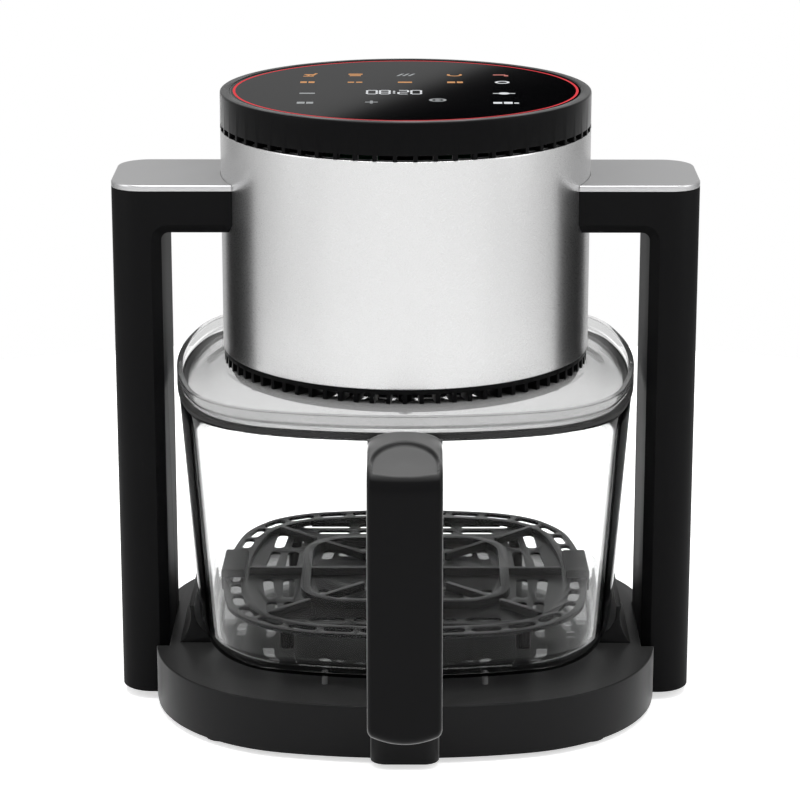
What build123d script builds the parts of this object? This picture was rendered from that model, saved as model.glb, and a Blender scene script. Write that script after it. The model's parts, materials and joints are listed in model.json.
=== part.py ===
from build123d import *
from math import asin, atan2, cos, degrees, hypot, pi, radians, sin, sqrt, tan
import os

os.makedirs("parts", exist_ok=True)

# All sizes are in millimetres. The model is made about the upright axis of the round head, with the
# floor at Z = 0, the front at -Y and the right-hand side, seen from the front, at +X.

# Head
head_radius = 97.0
sleeve_height = 116.8
sleeve_wall = 1.0
cap_height = 19.6
cap_edge_radius = 1.0
cap_notch_count = 60
cap_notch_width = 8.0
cap_notch_height = 3.0
cap_notch_depth = 5.0
cap_rim_width = 5.0
panel_thickness = 3.0
panel_sink = 0.25
panel_gap = 0.15
cap_wall = 3.5
cap_plug_depth = 4.0
ledge_depth = 11.0
ledge_thickness = 2.0
ledge_width = 11.0

# Touch panel electronics
light_ring_width = 2.2
light_ring_inset = 1.6
board_thickness = 1.6
board_edge_gap = 3.0
display_width = 34.0
display_depth = 15.0
display_gap = 0.2
spring_radius = 3.2
key_row_near = -22.0
key_row_far = 22.0
key_pitch = 26.0

# Arms and posts
post_gap = 4.9
post_width = 26.4
post_front = 38.3
post_rear = 31.5
post_wall = 3.5
post_bottom = 4.4
post_corner_radius = 17.0
post_chamfer = 5.0
arm_inner_radius = 4.0
arm_height = 25.8
arm_drop = 24.0
arm_cap_thickness = 3.2
arm_cap_edge = 1.0
arm_cap_rib = 2.0
rib_gap = 0.2
sleeve_fit = 0.15
channel_wall = 2.0
channel_depth = 40.0
channel_gap = 0.5
channel_reach = 19.0
channel_foot_gap = 4.0
arm_bolt_radius = 2.0
arm_bolt_spread = 20.0

# Cover over the bowl
cover_margin_x = 24.6
cover_margin_y = 22.9
cover_side_radius = 258.0
cover_corner_radius = 61.4
cover_rim_height = 10.0
cover_wall = 2.9
cover_edge_floor = 1.8
cover_rise = 9.6
cover_seat_thickness = 3.0
cover_edge_round = 1.0
cover_border = 6.3
opening_margin = 13.0
gasket_thickness = 1.8
gasket_width = 5.5
gasket_inset = 0.1

# Vent ring between the head and the cover
vent_height = 7.5
vent_band_height = 2.6
vent_rib_count = 72
vent_rib_width = 2.3
vent_ring_inset = 0.6
vent_rib_depth = 10.5
boss_radius = 3.6

# Glass bowl
bowl_height = 134.8
bowl_wall = 3.8
bowl_inset = 0.8
bowl_taper = 4.08
bowl_bottom_radius = 13.0
bowl_floor = 4.5
bowl_rim_round = 1.4
seat_gap = 0.3

# Base
foot_height = 3.0
foot_radius = 9.0
foot_plug_radius = 3.0
base_height = 27.9
base_wall = 3.0
base_tip = 8.8
base_margin_y = 4.4
base_shift = -3.7
base_side_radius = 279.0
base_corner_radius = 90.0
base_edge_round = 0.8
base_cover_thickness = 2.5
base_fit = 0.2
base_boss_radius = 5.0
base_screw_inset = 23.0
base_screw_y = 64.0
foot_inset_x = 40.0
foot_inset_y = 38.0
dock_width = 35.0
dock_reach = 8.4
dock_corner = 8.0
rest_height = 4.1
rest_radius = 1.6
rest_spread_x = 41.5
rest_spread_y = 94.7
guide_height = 21.0
guide_clearance = 0.8
guide_top_width = 2.6
guide_foot_width = 8.0
guide_end_gap = 4.0
gland_radius = 8.0
gland_bore = 3.6
gland_proud = 4.0
lead_radius = 3.0
lead_hole_radius = 5.0

# Interlock behind the bowl
stop_width = 24.0
stop_depth = 7.7
stop_height = 27.0
stop_wall = 1.2
stop_gap = 0.8
plunger_radius = 2.5
plunger_height = 19.5
plunger_gap = 0.4
plunger_fit = 0.05
plunger_travel = 2.0
plunger_head_radius = 3.6
plunger_head = 1.0
stop_bore = 4.5
switch_depth = 1.3
spring_wire = 0.25
lead_bend = 12.0

# Handle on the bowl
handle_width = 37.4
handle_reach = 45.1
handle_rise = 6.0
handle_slope = 13.2
handle_thickness = 18.0
handle_bottom = 23.6
handle_elbow = 15.0
handle_root_height = 40.0
handle_inner_elbow = 9.0
handle_tip_round = 6.0
handle_crown = 6.4
handle_corner = 4.0
handle_edge = 3.0
handle_gap = 0.5
recess_width = 31.0
recess_length = 32.0
recess_depth = 2.6
recess_start = 11.0
back_width = 27.0
back_length = 84.0
back_thickness = 3.0
back_fit = 0.15
insert_width = 18.0
insert_thickness = 3.0
insert_fit = 0.2
back_screw_radius = 1.2
glass_screw_radius = 2.5
glass_screw_pitch = 16.0
glass_hole_radius = 3.0
screw_head_radius = 5.0
screw_head_height = 2.6
screw_reach = 18.0
washer_radius = 7.0
washer_thickness = 1.0
washer_gap = 0.15
bowl_clearance = 0.3
inner_bottom_radius = 9.0

# Rack in the bowl
rack_gap_x = 8.5
rack_gap_y = 1.9
rack_side_radius = 250.0
rack_corner_radius = 60.0
rack_lift = 20.0
rack_rim_thickness = 1.8
rack_rim_width = 14.0
rack_step = 3.0
rack_floor = 1.4
rack_ridge_height = 4.0
rack_ridge_half = 56.0
rack_ridge_width = 5.0
rack_ridge_corner = 28.0
rack_rib_width = 3.0
rack_slot_width = 6.2
rack_slot_length = 16.0
rack_slot_pitch = 19.25
rack_foot_radius = 4.0
rack_foot_spread = 62.0
bumper_length = 34.0
bumper_width = 13.0
bumper_rise = 4.5
bumper_drop = 7.0
bumper_proud = 1.4
bumper_fit = 0.1
bumper_shift = 2.0
bumper_hook = 4.5

# Air system inside the head
shaft_radius = 4.0
bearing_fit = 0.05
bearing_radius = 9.0
bearing_height = 6.0
motor_radius = 30.0
motor_height = 24.0
rotor_radius = 19.5
rotor_gap = 0.5
fan_radius = 50.0
fan_height = 12.0
fan_blades = 12
fan_plate = 1.5
fan_bore_fit = 0.02
cooling_fan_radius = 38.0
cooling_fan_height = 10.0
cooling_blades = 7
reflector_radius = 84.0
reflector_wall = 1.0
reflector_depth = 30.0
liner_wall = 2.5
liner_gap = 0.3
plate_thickness = 2.5
insulation_gap = 0.2
insulation_height = 6.6
element_radius = 3.3
element_outer = 70.0
element_inner = 58.0
element_gap_angle = 16.0
element_height = 10.5
guard_thickness = 2.0
guard_flange = 5.0
guard_screw_radius = 2.0
guard_screw_count = 6
probe_radius = 2.5
probe_angle = 200.0
terminal_bend = 8.0
terminal_hole = 4.5
clip_count = 3
clip_width = 8.0
clip_thickness = 1.5
clip_gap = 0.2
power_board_gap = 4.0

# Heights above the floor
base_top = foot_height + base_height
bowl_bottom = base_top + rest_height + seat_gap
bowl_top = bowl_bottom + bowl_height
gasket_bottom = bowl_top + seat_gap
cover_bottom = gasket_bottom + gasket_thickness
cover_top = cover_bottom + cover_rim_height
cover_floor = cover_bottom + cover_edge_floor
cover_seat = cover_bottom + cover_rise
sleeve_bottom = cover_seat + vent_height
sleeve_top = sleeve_bottom + sleeve_height
cap_top = sleeve_top + cap_height
arm_top = sleeve_top - arm_drop
arm_plate = arm_top - arm_cap_thickness
arm_bottom = arm_top - arm_height

# Widths about the head axis
cover_half_width = head_radius + cover_margin_x
cover_half_depth = head_radius + cover_margin_y
post_inner = cover_half_width + post_gap
post_outer = post_inner + post_width
base_half_width = post_inner + base_tip
base_half_depth = cover_half_depth + base_margin_y
base_front = base_shift - base_half_depth
base_rear = base_shift + base_half_depth
handle_front = -cover_half_depth - handle_reach
opening_radius = head_radius - opening_margin
bowl_inside = bowl_bottom + bowl_floor
rim_under = bowl_inside + rack_lift
rim_top = rim_under + rack_rim_thickness
rim_inset = bowl_inset + (bowl_top - rim_under) * tan(radians(bowl_taper)) + bowl_wall
rack_half_width = cover_half_width - rim_inset - rack_gap_x
rack_half_depth = cover_half_depth - rim_inset - rack_gap_y
post_centre_y = (post_rear - post_front) / 2
post_depth = post_front + post_rear

# The finished pieces are moved so that the footprint is centred on the origin.
footprint_rear = base_rear + gland_proud
centre_move = -(handle_front + footprint_rear) / 2


def write(piece, label):
    """Centre a finished piece on the footprint, name it and write it."""
    placed = piece.moved(Location((0, centre_move, 0)))
    placed.label = label
    export_step(placed, f"parts/{label}.step")


def soft_square(half_width, half_depth, side_radius, corner_radius, inset=0.0, centre_y=0.0):
    """A soft square of eight tangent arcs, moved in by inset."""
    drop_x = side_radius - half_width
    drop_y = side_radius - half_depth
    span = hypot(drop_x, drop_y)
    push = sqrt((side_radius - corner_radius) ** 2 - span**2 / 4)
    corner_x = drop_y / span * push - drop_x / 2
    corner_y = drop_x / span * push - drop_y / 2
    corner = corner_radius - inset
    end_angle = atan2(corner_y + drop_y, corner_x)
    side_angle = atan2(corner_y, corner_x + drop_x)

    def on_corner(angle):
        return corner_x + corner * cos(angle), corner_y + corner * sin(angle)

    end_point = on_corner(end_angle)
    middle_point = on_corner((end_angle + side_angle) / 2)
    side_point = on_corner(side_angle)

    def at(point, sign_x, sign_y):
        return sign_x * point[0], centre_y + sign_y * point[1]

    with BuildSketch() as outline:
        with BuildLine():
            for sign_x, sign_y in ((1, 1), (1, -1), (-1, -1), (-1, 1)):
                ThreePointArc(
                    at(end_point, sign_x, sign_y),
                    at(middle_point, sign_x, sign_y),
                    at(side_point, sign_x, sign_y),
                )
            for sign in (1, -1):
                ThreePointArc(
                    at(end_point, -1, sign),
                    at((0, half_depth - inset), 1, sign),
                    at(end_point, 1, sign),
                )
                ThreePointArc(
                    at(side_point, sign, 1),
                    at((half_width - inset, 0), sign, 1),
                    at(side_point, sign, -1),
                )
        make_face()
    return outline.sketch


def cover_outline(inset=0.0):
    return soft_square(
        cover_half_width, cover_half_depth, cover_side_radius, cover_corner_radius, inset
    )


def rack_outline(inset=0.0):
    return soft_square(
        rack_half_width, rack_half_depth, rack_side_radius, rack_corner_radius, inset
    )


def base_outline(inset=0.0):
    """The base seen from above: soft square, notches for the posts and the dock at the front."""
    with BuildSketch() as outline:
        add(
            soft_square(
                base_half_width,
                base_half_depth,
                base_side_radius,
                base_corner_radius,
                inset,
                base_shift,
            )
        )
        with Locations((0, base_front)):
            RectangleRounded(
                dock_width - 2 * inset, 2 * (dock_reach - inset), dock_corner - inset
            )
        notch_width = base_tip + base_wall + inset
        for side in (-1, 1):
            with Locations((side * (post_inner - inset + notch_width), post_centre_y)):
                Rectangle(2 * notch_width, post_depth + 2 * inset, mode=Mode.SUBTRACT)
    return outline.sketch


def bowl_wall_inset(height):
    """How far the outside of the bowl stands in from the cover's outline at a height."""
    return bowl_inset + (bowl_top - height) * tan(radians(bowl_taper))


def drill(places, radius, bottom, top):
    """Cut upright round holes through the active part."""
    with Locations(*[(x, y, bottom) for x, y in places]):
        Cylinder(
            radius,
            top - bottom,
            align=(Align.CENTER, Align.CENTER, Align.MIN),
            mode=Mode.SUBTRACT,
        )


def around(radius, count, start=0.0):
    """Places on a circle about the head axis."""
    step = 2 * pi / count
    angles = [radians(start) + step * turn for turn in range(count)]
    return [(radius * cos(angle), radius * sin(angle)) for angle in angles]


# Base housing: an upside-down tray with screw bosses, a dock for the handle and holes for the lead
screw_places = [
    (side * (post_inner - base_screw_inset), base_shift + end * base_screw_y)
    for side in (-1, 1)
    for end in (-1, 1)
]
foot_places = [
    (side * (base_half_width - foot_inset_x), base_shift + end * (base_half_depth - foot_inset_y))
    for side in (-1, 1)
    for end in (-1, 1)
]
screw_hole_radius = 1.6
screw_shank_radius = 1.5
lead_height = foot_height + 14.0
post_screw_heights = (foot_height + 7.0, foot_height + 20.0)
post_screw_y = post_centre_y + 18.0

with BuildPart() as base_housing:
    with BuildSketch(Plane.XY.offset(foot_height)):
        add(base_outline())
    extrude(amount=base_height)
    fillet(base_housing.faces().sort_by(Axis.Z)[-1].edges(), base_edge_round)
    with BuildSketch(Plane.XY.offset(foot_height)):
        add(base_outline(base_wall))
    extrude(amount=base_height - base_wall, mode=Mode.SUBTRACT)
    with BuildSketch(Plane.XY.offset(foot_height + base_cover_thickness)):
        with Locations(*screw_places):
            Circle(base_boss_radius)
    extrude(amount=base_height - base_cover_thickness - base_wall / 2)
    drill(screw_places, screw_hole_radius, foot_height, base_top - base_wall - 1.0)
    with BuildSketch(Plane.YZ):
        with Locations((post_centre_y, lead_height)):
            Circle(lead_hole_radius)
    extrude(amount=-base_half_width, mode=Mode.SUBTRACT)
    with BuildSketch(Plane.YZ.offset(-base_half_width)):
        with Locations(*[(post_screw_y, height) for height in post_screw_heights]):
            Circle(screw_hole_radius)
    extrude(amount=2 * base_half_width, mode=Mode.SUBTRACT)
    with BuildSketch(Plane.XZ.offset(-base_rear - base_wall)):
        with Locations((0, lead_height)):
            Circle(gland_radius - 2.0)
    extrude(amount=3 * base_wall, mode=Mode.SUBTRACT)
write(base_housing.part, "base_housing")

# Plate that closes the base from below
with BuildPart() as base_cover:
    with BuildSketch(Plane.XY.offset(foot_height)):
        add(base_outline(base_wall + base_fit))
    extrude(amount=base_cover_thickness)
    with Locations(*[Location((x, y, foot_height)) for x, y in screw_places]):
        Hole(screw_hole_radius + 0.3)
    with Locations(*[Location((x, y, foot_height)) for x, y in foot_places]):
        Hole(foot_plug_radius + 0.1)
write(base_cover.part, "base_cover")

# Screws that hold the plate, with flat heads below it
screw_head = 1.2
with BuildPart() as base_screws:
    with BuildSketch(Plane.XY.offset(foot_height - screw_head)):
        with Locations(*screw_places):
            Circle(3.2)
    extrude(amount=screw_head)
    with BuildSketch(Plane.XY.offset(foot_height)):
        with Locations(*screw_places):
            Circle(screw_shank_radius)
    extrude(amount=14.0)
write(base_screws.part, "base_screws")

# Rubber feet plugged into the plate
with BuildPart() as rubber_feet:
    with BuildSketch():
        with Locations(*foot_places):
            Circle(foot_radius)
    extrude(amount=foot_height)
    fillet(rubber_feet.edges().group_by(Axis.Z)[0], 0.6)
    with BuildSketch(Plane.XY.offset(foot_height)):
        with Locations(*foot_places):
            Circle(foot_plug_radius)
    extrude(amount=base_cover_thickness + 1.0)
write(rubber_feet.part, "rubber_feet")

# Gland at the back where the mains lead comes in
with BuildPart() as cord_gland:
    with BuildSketch(Plane.XZ.offset(-base_rear)):
        with Locations((0, lead_height)):
            Circle(gland_radius)
    extrude(amount=-gland_proud)
    fillet(cord_gland.edges().group_by(Axis.Y)[-1], 1.2)
    with BuildSketch(Plane.XZ.offset(-base_rear)):
        with Locations((0, lead_height)):
            Circle(gland_radius - 2.0 - base_fit / 2)
    extrude(amount=base_wall + 2.0)
    with BuildSketch(Plane.XZ.offset(-base_rear - gland_proud)):
        with Locations((0, lead_height)):
            Circle(gland_bore)
    extrude(amount=base_wall + gland_proud + 2.0, mode=Mode.SUBTRACT)
write(cord_gland.part, "cord_gland")

# Soft pads under the bowl
rest_places = [
    (side * rest_spread_x, end * rest_spread_y) for side in (-1, 1) for end in (-1, 1)
]
with BuildPart() as bowl_rests:
    with BuildSketch(Plane.XY.offset(base_top)):
        with Locations(*rest_places):
            Circle(rest_radius)
    extrude(amount=rest_height)
    fillet(bowl_rests.edges().group_by(Axis.Z)[-1], 1.2)
write(bowl_rests.part, "bowl_rests")

# Guides that steer the bowl between the posts. Their inner side follows the bowl's widest section.
turn_x = cover_half_width - bowl_wall_inset(bowl_bottom + bowl_bottom_radius) - bowl_bottom_radius
turn_z = bowl_bottom + bowl_bottom_radius
guide_arc = bowl_bottom_radius + guide_clearance
guide_top = base_top + guide_height
guide_wall_x = cover_half_width - bowl_wall_inset(guide_top) + guide_clearance
guide_low_angle = asin((turn_z - bowl_bottom + seat_gap) / guide_arc)
guide_low_x = turn_x + guide_arc * cos(guide_low_angle)
guide_length = post_depth - 2 * guide_end_gap

with BuildPart() as right_bowl_guide:
    with BuildSketch(Plane.XZ.offset(-post_centre_y - guide_length / 2)):
        with BuildLine():
            low = (guide_low_x, turn_z - guide_arc * sin(guide_low_angle))
            middle = (
                turn_x + guide_arc * cos(guide_low_angle / 2),
                turn_z - guide_arc * sin(guide_low_angle / 2),
            )
            high = (turn_x + guide_arc, turn_z)
            wall_top = (guide_wall_x, guide_top)
            outer_top = (guide_wall_x + guide_top_width, guide_top)
            outer_foot = (guide_wall_x + guide_foot_width, base_top)
            bend = (
                guide_wall_x + guide_top_width + 0.8,
                base_top + guide_height * 0.35,
            )
            inner_foot = (guide_low_x, base_top)
            ThreePointArc(low, middle, high)
            Line(high, wall_top)
            Line(wall_top, outer_top)
            ThreePointArc(outer_top, bend, outer_foot)
            Line(outer_foot, inner_foot)
            Line(inner_foot, low)
        make_face()
    extrude(amount=guide_length)
write(right_bowl_guide.part, "right_bowl_guide")

with BuildPart() as left_bowl_guide:
    add(mirror(right_bowl_guide.part, about=Plane.YZ, mode=Mode.PRIVATE))
write(left_bowl_guide.part, "left_bowl_guide")

# Posts: hollow upright casings that turn into arms at the top, open upwards under their covers
def post_shape(inset, top):
    """An upright post that turns into an arm, moved in by inset on every side but its top."""
    inner = post_inner + inset
    outer = post_outer - inset
    bottom = post_bottom + inset
    under_arm = arm_bottom + inset
    with BuildPart() as shape:
        with BuildSketch(Plane.XZ.offset(inset - post_rear)) as front_view:
            with BuildLine():
                Polyline(
                    (0, under_arm),
                    (inner, under_arm),
                    (inner, bottom),
                    (outer, bottom),
                    (outer, top),
                    (0, top),
                    close=True,
                )
            make_face()
            inner_corner = front_view.vertices().sort_by_distance((inner, under_arm))[0]
            fillet(inner_corner, arm_inner_radius + inset)
            outer_corner = front_view.vertices().sort_by_distance((outer, bottom))[0]
            fillet(outer_corner, post_corner_radius - inset)
        extrude(amount=post_depth - 2 * inset)
        with BuildSketch(Plane.XY.offset(bottom)) as plan:
            with Locations((outer / 2, post_centre_y)):
                Rectangle(outer, post_depth - 2 * inset)
            fillet(plan.vertices().group_by(Axis.X)[-1], post_corner_radius - inset)
        extrude(amount=top - bottom, mode=Mode.INTERSECT)
    return shape.part


channel_x = post_inner + post_wall + channel_gap
channel_width = post_width - 2 * post_wall - 4 * channel_gap
channel_bottom = post_bottom + channel_foot_gap
channel_top = arm_plate - arm_cap_rib - channel_gap
channel_under = arm_bottom + post_wall + channel_gap
channel_end = head_radius - channel_reach

with BuildPart() as right_post:
    add(post_shape(0.0, arm_plate))
    arm_edges = [
        edge
        for edge in right_post.edges().group_by(Axis.Y)[0]
        if edge.center().X < post_inner + 0.1
        and post_bottom + 1.0 < edge.center().Z < arm_bottom + 0.1
        and edge.center().X > 1.0
    ]
    chamfer(arm_edges, post_chamfer)
    add(post_shape(post_wall, arm_plate), mode=Mode.SUBTRACT)
    Cylinder(head_radius + sleeve_fit, 3 * cap_top, mode=Mode.SUBTRACT)
    with BuildSketch(Plane.YZ.offset(post_inner - base_wall)):
        with Locations(*[(post_screw_y, height) for height in post_screw_heights]):
            Circle(screw_hole_radius)
        with Locations((post_centre_y, lead_height)):
            Circle(lead_hole_radius)
    extrude(amount=2 * post_wall, mode=Mode.SUBTRACT)
write(right_post.part, "right_post")

with BuildPart() as left_post:
    add(mirror(right_post.part, about=Plane.YZ, mode=Mode.PRIVATE))
write(left_post.part, "left_post")

# Metal covers on the arms, each with a locating rib that drops inside the casing
with BuildPart() as right_arm_cap:
    with BuildSketch(Plane.XY.offset(arm_plate)) as cap_plan:
        with Locations((post_outer / 2, post_centre_y)):
            Rectangle(post_outer, post_depth)
        fillet(cap_plan.vertices().group_by(Axis.X)[-1], post_corner_radius)
    extrude(amount=arm_cap_thickness)
    fillet(right_arm_cap.faces().sort_by(Axis.Z)[-1].edges(), arm_cap_edge)
    with BuildSketch(Plane.XY.offset(arm_plate - arm_cap_rib)) as rib_plan:
        rib_outer = post_outer - post_wall - rib_gap
        with Locations((rib_outer / 2, post_centre_y)):
            Rectangle(rib_outer, post_depth - 2 * (post_wall + rib_gap))
        fillet(
            rib_plan.vertices().group_by(Axis.X)[-1], post_corner_radius - post_wall - rib_gap
        )
        offset(amount=-arm_cap_rib, mode=Mode.SUBTRACT)
    extrude(amount=arm_cap_rib)
    Cylinder(head_radius + sleeve_fit, 3 * cap_top, mode=Mode.SUBTRACT)
write(right_arm_cap.part, "right_arm_cap")

with BuildPart() as left_arm_cap:
    add(mirror(right_arm_cap.part, about=Plane.YZ, mode=Mode.PRIVATE))
write(left_arm_cap.part, "left_arm_cap")

# Steel channels inside the posts and arms, open at the back, which carry the head
def channel_view(inset):
    """The channel seen from the front, moved in by inset."""
    with BuildSketch() as view:
        with BuildLine():
            Polyline(
                (channel_end + inset, channel_under + inset),
                (channel_x + inset, channel_under + inset),
                (channel_x + inset, channel_bottom + inset),
                (channel_x + channel_width - inset, channel_bottom + inset),
                (channel_x + channel_width - inset, channel_top - inset),
                (channel_end + inset, channel_top - inset),
                close=True,
            )
        make_face()
        low_corner = (channel_x + channel_width - inset, channel_bottom + inset)
        fillet(
            view.vertices().sort_by_distance(low_corner)[0],
            post_corner_radius - post_wall - channel_gap - inset,
        )
    return view.sketch


bolt_x = channel_end + 8.0
bolt_places = [(bolt_x, post_centre_y + end * arm_bolt_spread / 2) for end in (-1, 1)]

with BuildPart() as right_post_frame:
    with BuildSketch(Plane.XZ.offset(-post_centre_y + channel_depth / 2)):
        add(channel_view(0.0))
    extrude(amount=-channel_depth)
    with BuildSketch(Plane.XZ.offset(-post_centre_y + channel_depth / 2 - channel_wall)):
        add(channel_view(channel_wall))
    extrude(amount=-channel_depth, mode=Mode.SUBTRACT)
    drill(bolt_places, arm_bolt_radius + 0.2, channel_under, channel_under + channel_wall)
    with BuildSketch(Plane.YZ.offset(channel_x)):
        with Locations((post_centre_y, lead_height)):
            Circle(lead_hole_radius)
    extrude(amount=channel_wall, mode=Mode.SUBTRACT)
    with BuildSketch(Plane.YZ.offset(channel_end)):
        with Locations((post_centre_y, (channel_under + channel_top) / 2)):
            Circle(lead_hole_radius)
    extrude(amount=channel_wall, mode=Mode.SUBTRACT)
write(right_post_frame.part, "right_post_frame")

with BuildPart() as left_post_frame:
    add(mirror(right_post_frame.part, about=Plane.YZ, mode=Mode.PRIVATE))
write(left_post_frame.part, "left_post_frame")

# Screws through the sides of the base into the posts, and bolts that hold the arms in the head
with BuildPart() as post_screws:
    for side in (-1, 1):
        for height in post_screw_heights:
            head_x = side * (post_inner - base_wall)
            with Locations(Location((head_x, post_screw_y, height), (0, -side * 90, 0))):
                Cylinder(3.0, 2.0, align=(Align.CENTER, Align.CENTER, Align.MIN))
            with Locations(Location((head_x, post_screw_y, height), (0, side * 90, 0))):
                Cylinder(
                    screw_shank_radius,
                    base_wall + post_wall,
                    align=(Align.CENTER, Align.CENTER, Align.MIN),
                )
write(post_screws.part, "post_screws")

shelf_thickness = 4.0
with BuildPart() as arm_bolts:
    for side in (-1, 1):
        for x, y in bolt_places:
            with Locations((side * x, y, channel_under + channel_wall)):
                Cylinder(3.4, 2.6, align=(Align.CENTER, Align.CENTER, Align.MIN))
            with Locations((side * x, y, channel_under + channel_wall)):
                Cylinder(
                    arm_bolt_radius,
                    channel_wall + shelf_thickness,
                    align=(Align.CENTER, Align.CENTER, Align.MAX),
                )
write(arm_bolts.part, "arm_bolts")

# Round steel sleeve of the head, with a window where each arm's channel comes in
window_gap = 0.6
with BuildPart() as head_sleeve:
    with BuildSketch(Plane.XY.offset(sleeve_bottom)):
        Circle(head_radius)
        Circle(head_radius - sleeve_wall, mode=Mode.SUBTRACT)
    extrude(amount=sleeve_height)
    with Locations((0, post_centre_y, (channel_under + channel_top) / 2)):
        Box(
            3 * head_radius,
            channel_depth + 2 * window_gap,
            channel_top - channel_under + 2 * window_gap,
            mode=Mode.SUBTRACT,
        )
write(head_sleeve.part, "head_sleeve")

# Cap ring that frames the glass panel, plugged into the sleeve, with air notches along its foot
panel_radius = head_radius - cap_rim_width
panel_bottom = cap_top - panel_sink - panel_thickness
ledge_top = cap_top - ledge_depth
with BuildPart() as head_cap:
    with BuildSketch(Plane.XY.offset(sleeve_top)):
        Circle(head_radius)
    extrude(amount=cap_height)
    fillet(head_cap.edges().group_by(Axis.Z)[-1], cap_edge_radius)
    with BuildSketch(Plane.XY.offset(sleeve_top - cap_plug_depth)):
        Circle(head_radius - sleeve_wall - liner_gap)
    extrude(amount=cap_plug_depth)
    with BuildSketch(Plane.XY.offset(ledge_top)):
        Circle(panel_radius + panel_gap)
    extrude(amount=ledge_depth, mode=Mode.SUBTRACT)
    with BuildSketch(Plane.XY.offset(sleeve_top - cap_plug_depth)):
        Circle(head_radius - cap_wall - sleeve_wall)
    extrude(amount=cap_plug_depth + cap_height - ledge_depth - ledge_thickness, mode=Mode.SUBTRACT)
    with BuildSketch(Plane.XY.offset(ledge_top - ledge_thickness)):
        Circle(panel_radius - ledge_width)
    extrude(amount=ledge_thickness, mode=Mode.SUBTRACT)
    with BuildSketch(Plane.XY.offset(sleeve_top)):
        with PolarLocations(head_radius - cap_notch_depth / 2 + 1.0, cap_notch_count):
            Rectangle(cap_notch_depth + 2.0, cap_notch_width)
    extrude(amount=cap_notch_height, mode=Mode.SUBTRACT)
write(head_cap.part, "head_cap")

# Glass touch panel with the parts under it
with BuildPart() as control_glass:
    with BuildSketch(Plane.XY.offset(panel_bottom)):
        Circle(panel_radius)
    extrude(amount=panel_thickness)
    fillet(control_glass.edges().group_by(Axis.Z)[-1], 0.4)
write(control_glass.part, "control_glass")

with BuildPart() as light_ring:
    with BuildSketch(Plane.XY.offset(ledge_top)):
        Circle(panel_radius - light_ring_inset)
        Circle(panel_radius - light_ring_inset - light_ring_width, mode=Mode.SUBTRACT)
    extrude(amount=panel_bottom - ledge_top)
write(light_ring.part, "light_ring")

board_radius = panel_radius - light_ring_inset - light_ring_width - board_edge_gap
with BuildPart() as display_board:
    with BuildSketch(Plane.XY.offset(ledge_top)):
        Circle(board_radius)
    extrude(amount=board_thickness)
write(display_board.part, "display_board")

board_top = ledge_top + board_thickness
with BuildPart() as digit_display:
    with Locations((0, 0, board_top)):
        Box(
            display_width,
            display_depth,
            panel_bottom - board_top - display_gap,
            align=(Align.CENTER, Align.CENTER, Align.MIN),
        )
write(digit_display.part, "digit_display")

key_places = [(key_pitch * column, key_row_far) for column in (-2, -1, 0, 1, 2)]
key_places += [(key_pitch * column, key_row_near) for column in (-1.5, -0.5, 0.5, 1.5)]
with BuildPart() as touch_springs:
    with Locations(*[(x, y, board_top) for x, y in key_places]):
        Cylinder(
            spring_radius,
            panel_bottom - board_top,
            align=(Align.CENTER, Align.CENTER, Align.MIN),
        )
        Cylinder(
            spring_radius - 1.0,
            panel_bottom - board_top,
            align=(Align.CENTER, Align.CENTER, Align.MIN),
            mode=Mode.SUBTRACT,
        )
write(touch_springs.part, "touch_springs")

# Liner of the head: a cup that fills the sleeve, carries the motor and takes the arm channels
liner_radius = head_radius - sleeve_wall - liner_gap
liner_top = sleeve_top - cap_plug_depth - liner_gap
reflector_bottom = sleeve_bottom
reflector_top = reflector_bottom + reflector_depth
insulation_bottom = reflector_top + insulation_gap
liner_bottom = insulation_bottom + insulation_height + insulation_gap
liner_floor = liner_bottom + plate_thickness
bracket_top = liner_floor + plate_thickness
motor_top = bracket_top + motor_height
motor_hole_radius = motor_radius - 4.0
cooling_bottom = motor_top + 3.0
shaft_top = cooling_bottom + cooling_fan_height + 1.0
shelf_x = channel_end + 7.0 - 8.0
power_board_z = shaft_top + power_board_gap
power_boss_places = [(x, y) for x in (-50.0, 50.0) for y in (-42.0, 42.0)]
element_z = reflector_bottom + element_height
terminal_top = liner_floor + 6.0
power_part_top = ledge_top - board_edge_gap
power_part_height = min(20.0, power_part_top - power_board_z - board_thickness)


def on_coil(radius, angle, behind=0.0, height=0.0):
    """A point on a heating ring, moved back along its tangent and up."""
    turned = radians(angle)
    return (
        radius * cos(turned) + behind * sin(turned),
        radius * sin(turned) - behind * cos(turned),
        element_z + height,
    )


coil_first = element_gap_angle
coil_last = 360.0 - element_gap_angle
terminal_places = [
    on_coil(radius, coil_first, terminal_bend)[:2] for radius in (element_outer, element_inner)
]
probe_radius_place = reflector_radius - 5.5
probe_place = (
    probe_radius_place * cos(radians(probe_angle)),
    probe_radius_place * sin(radians(probe_angle)),
)

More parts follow.
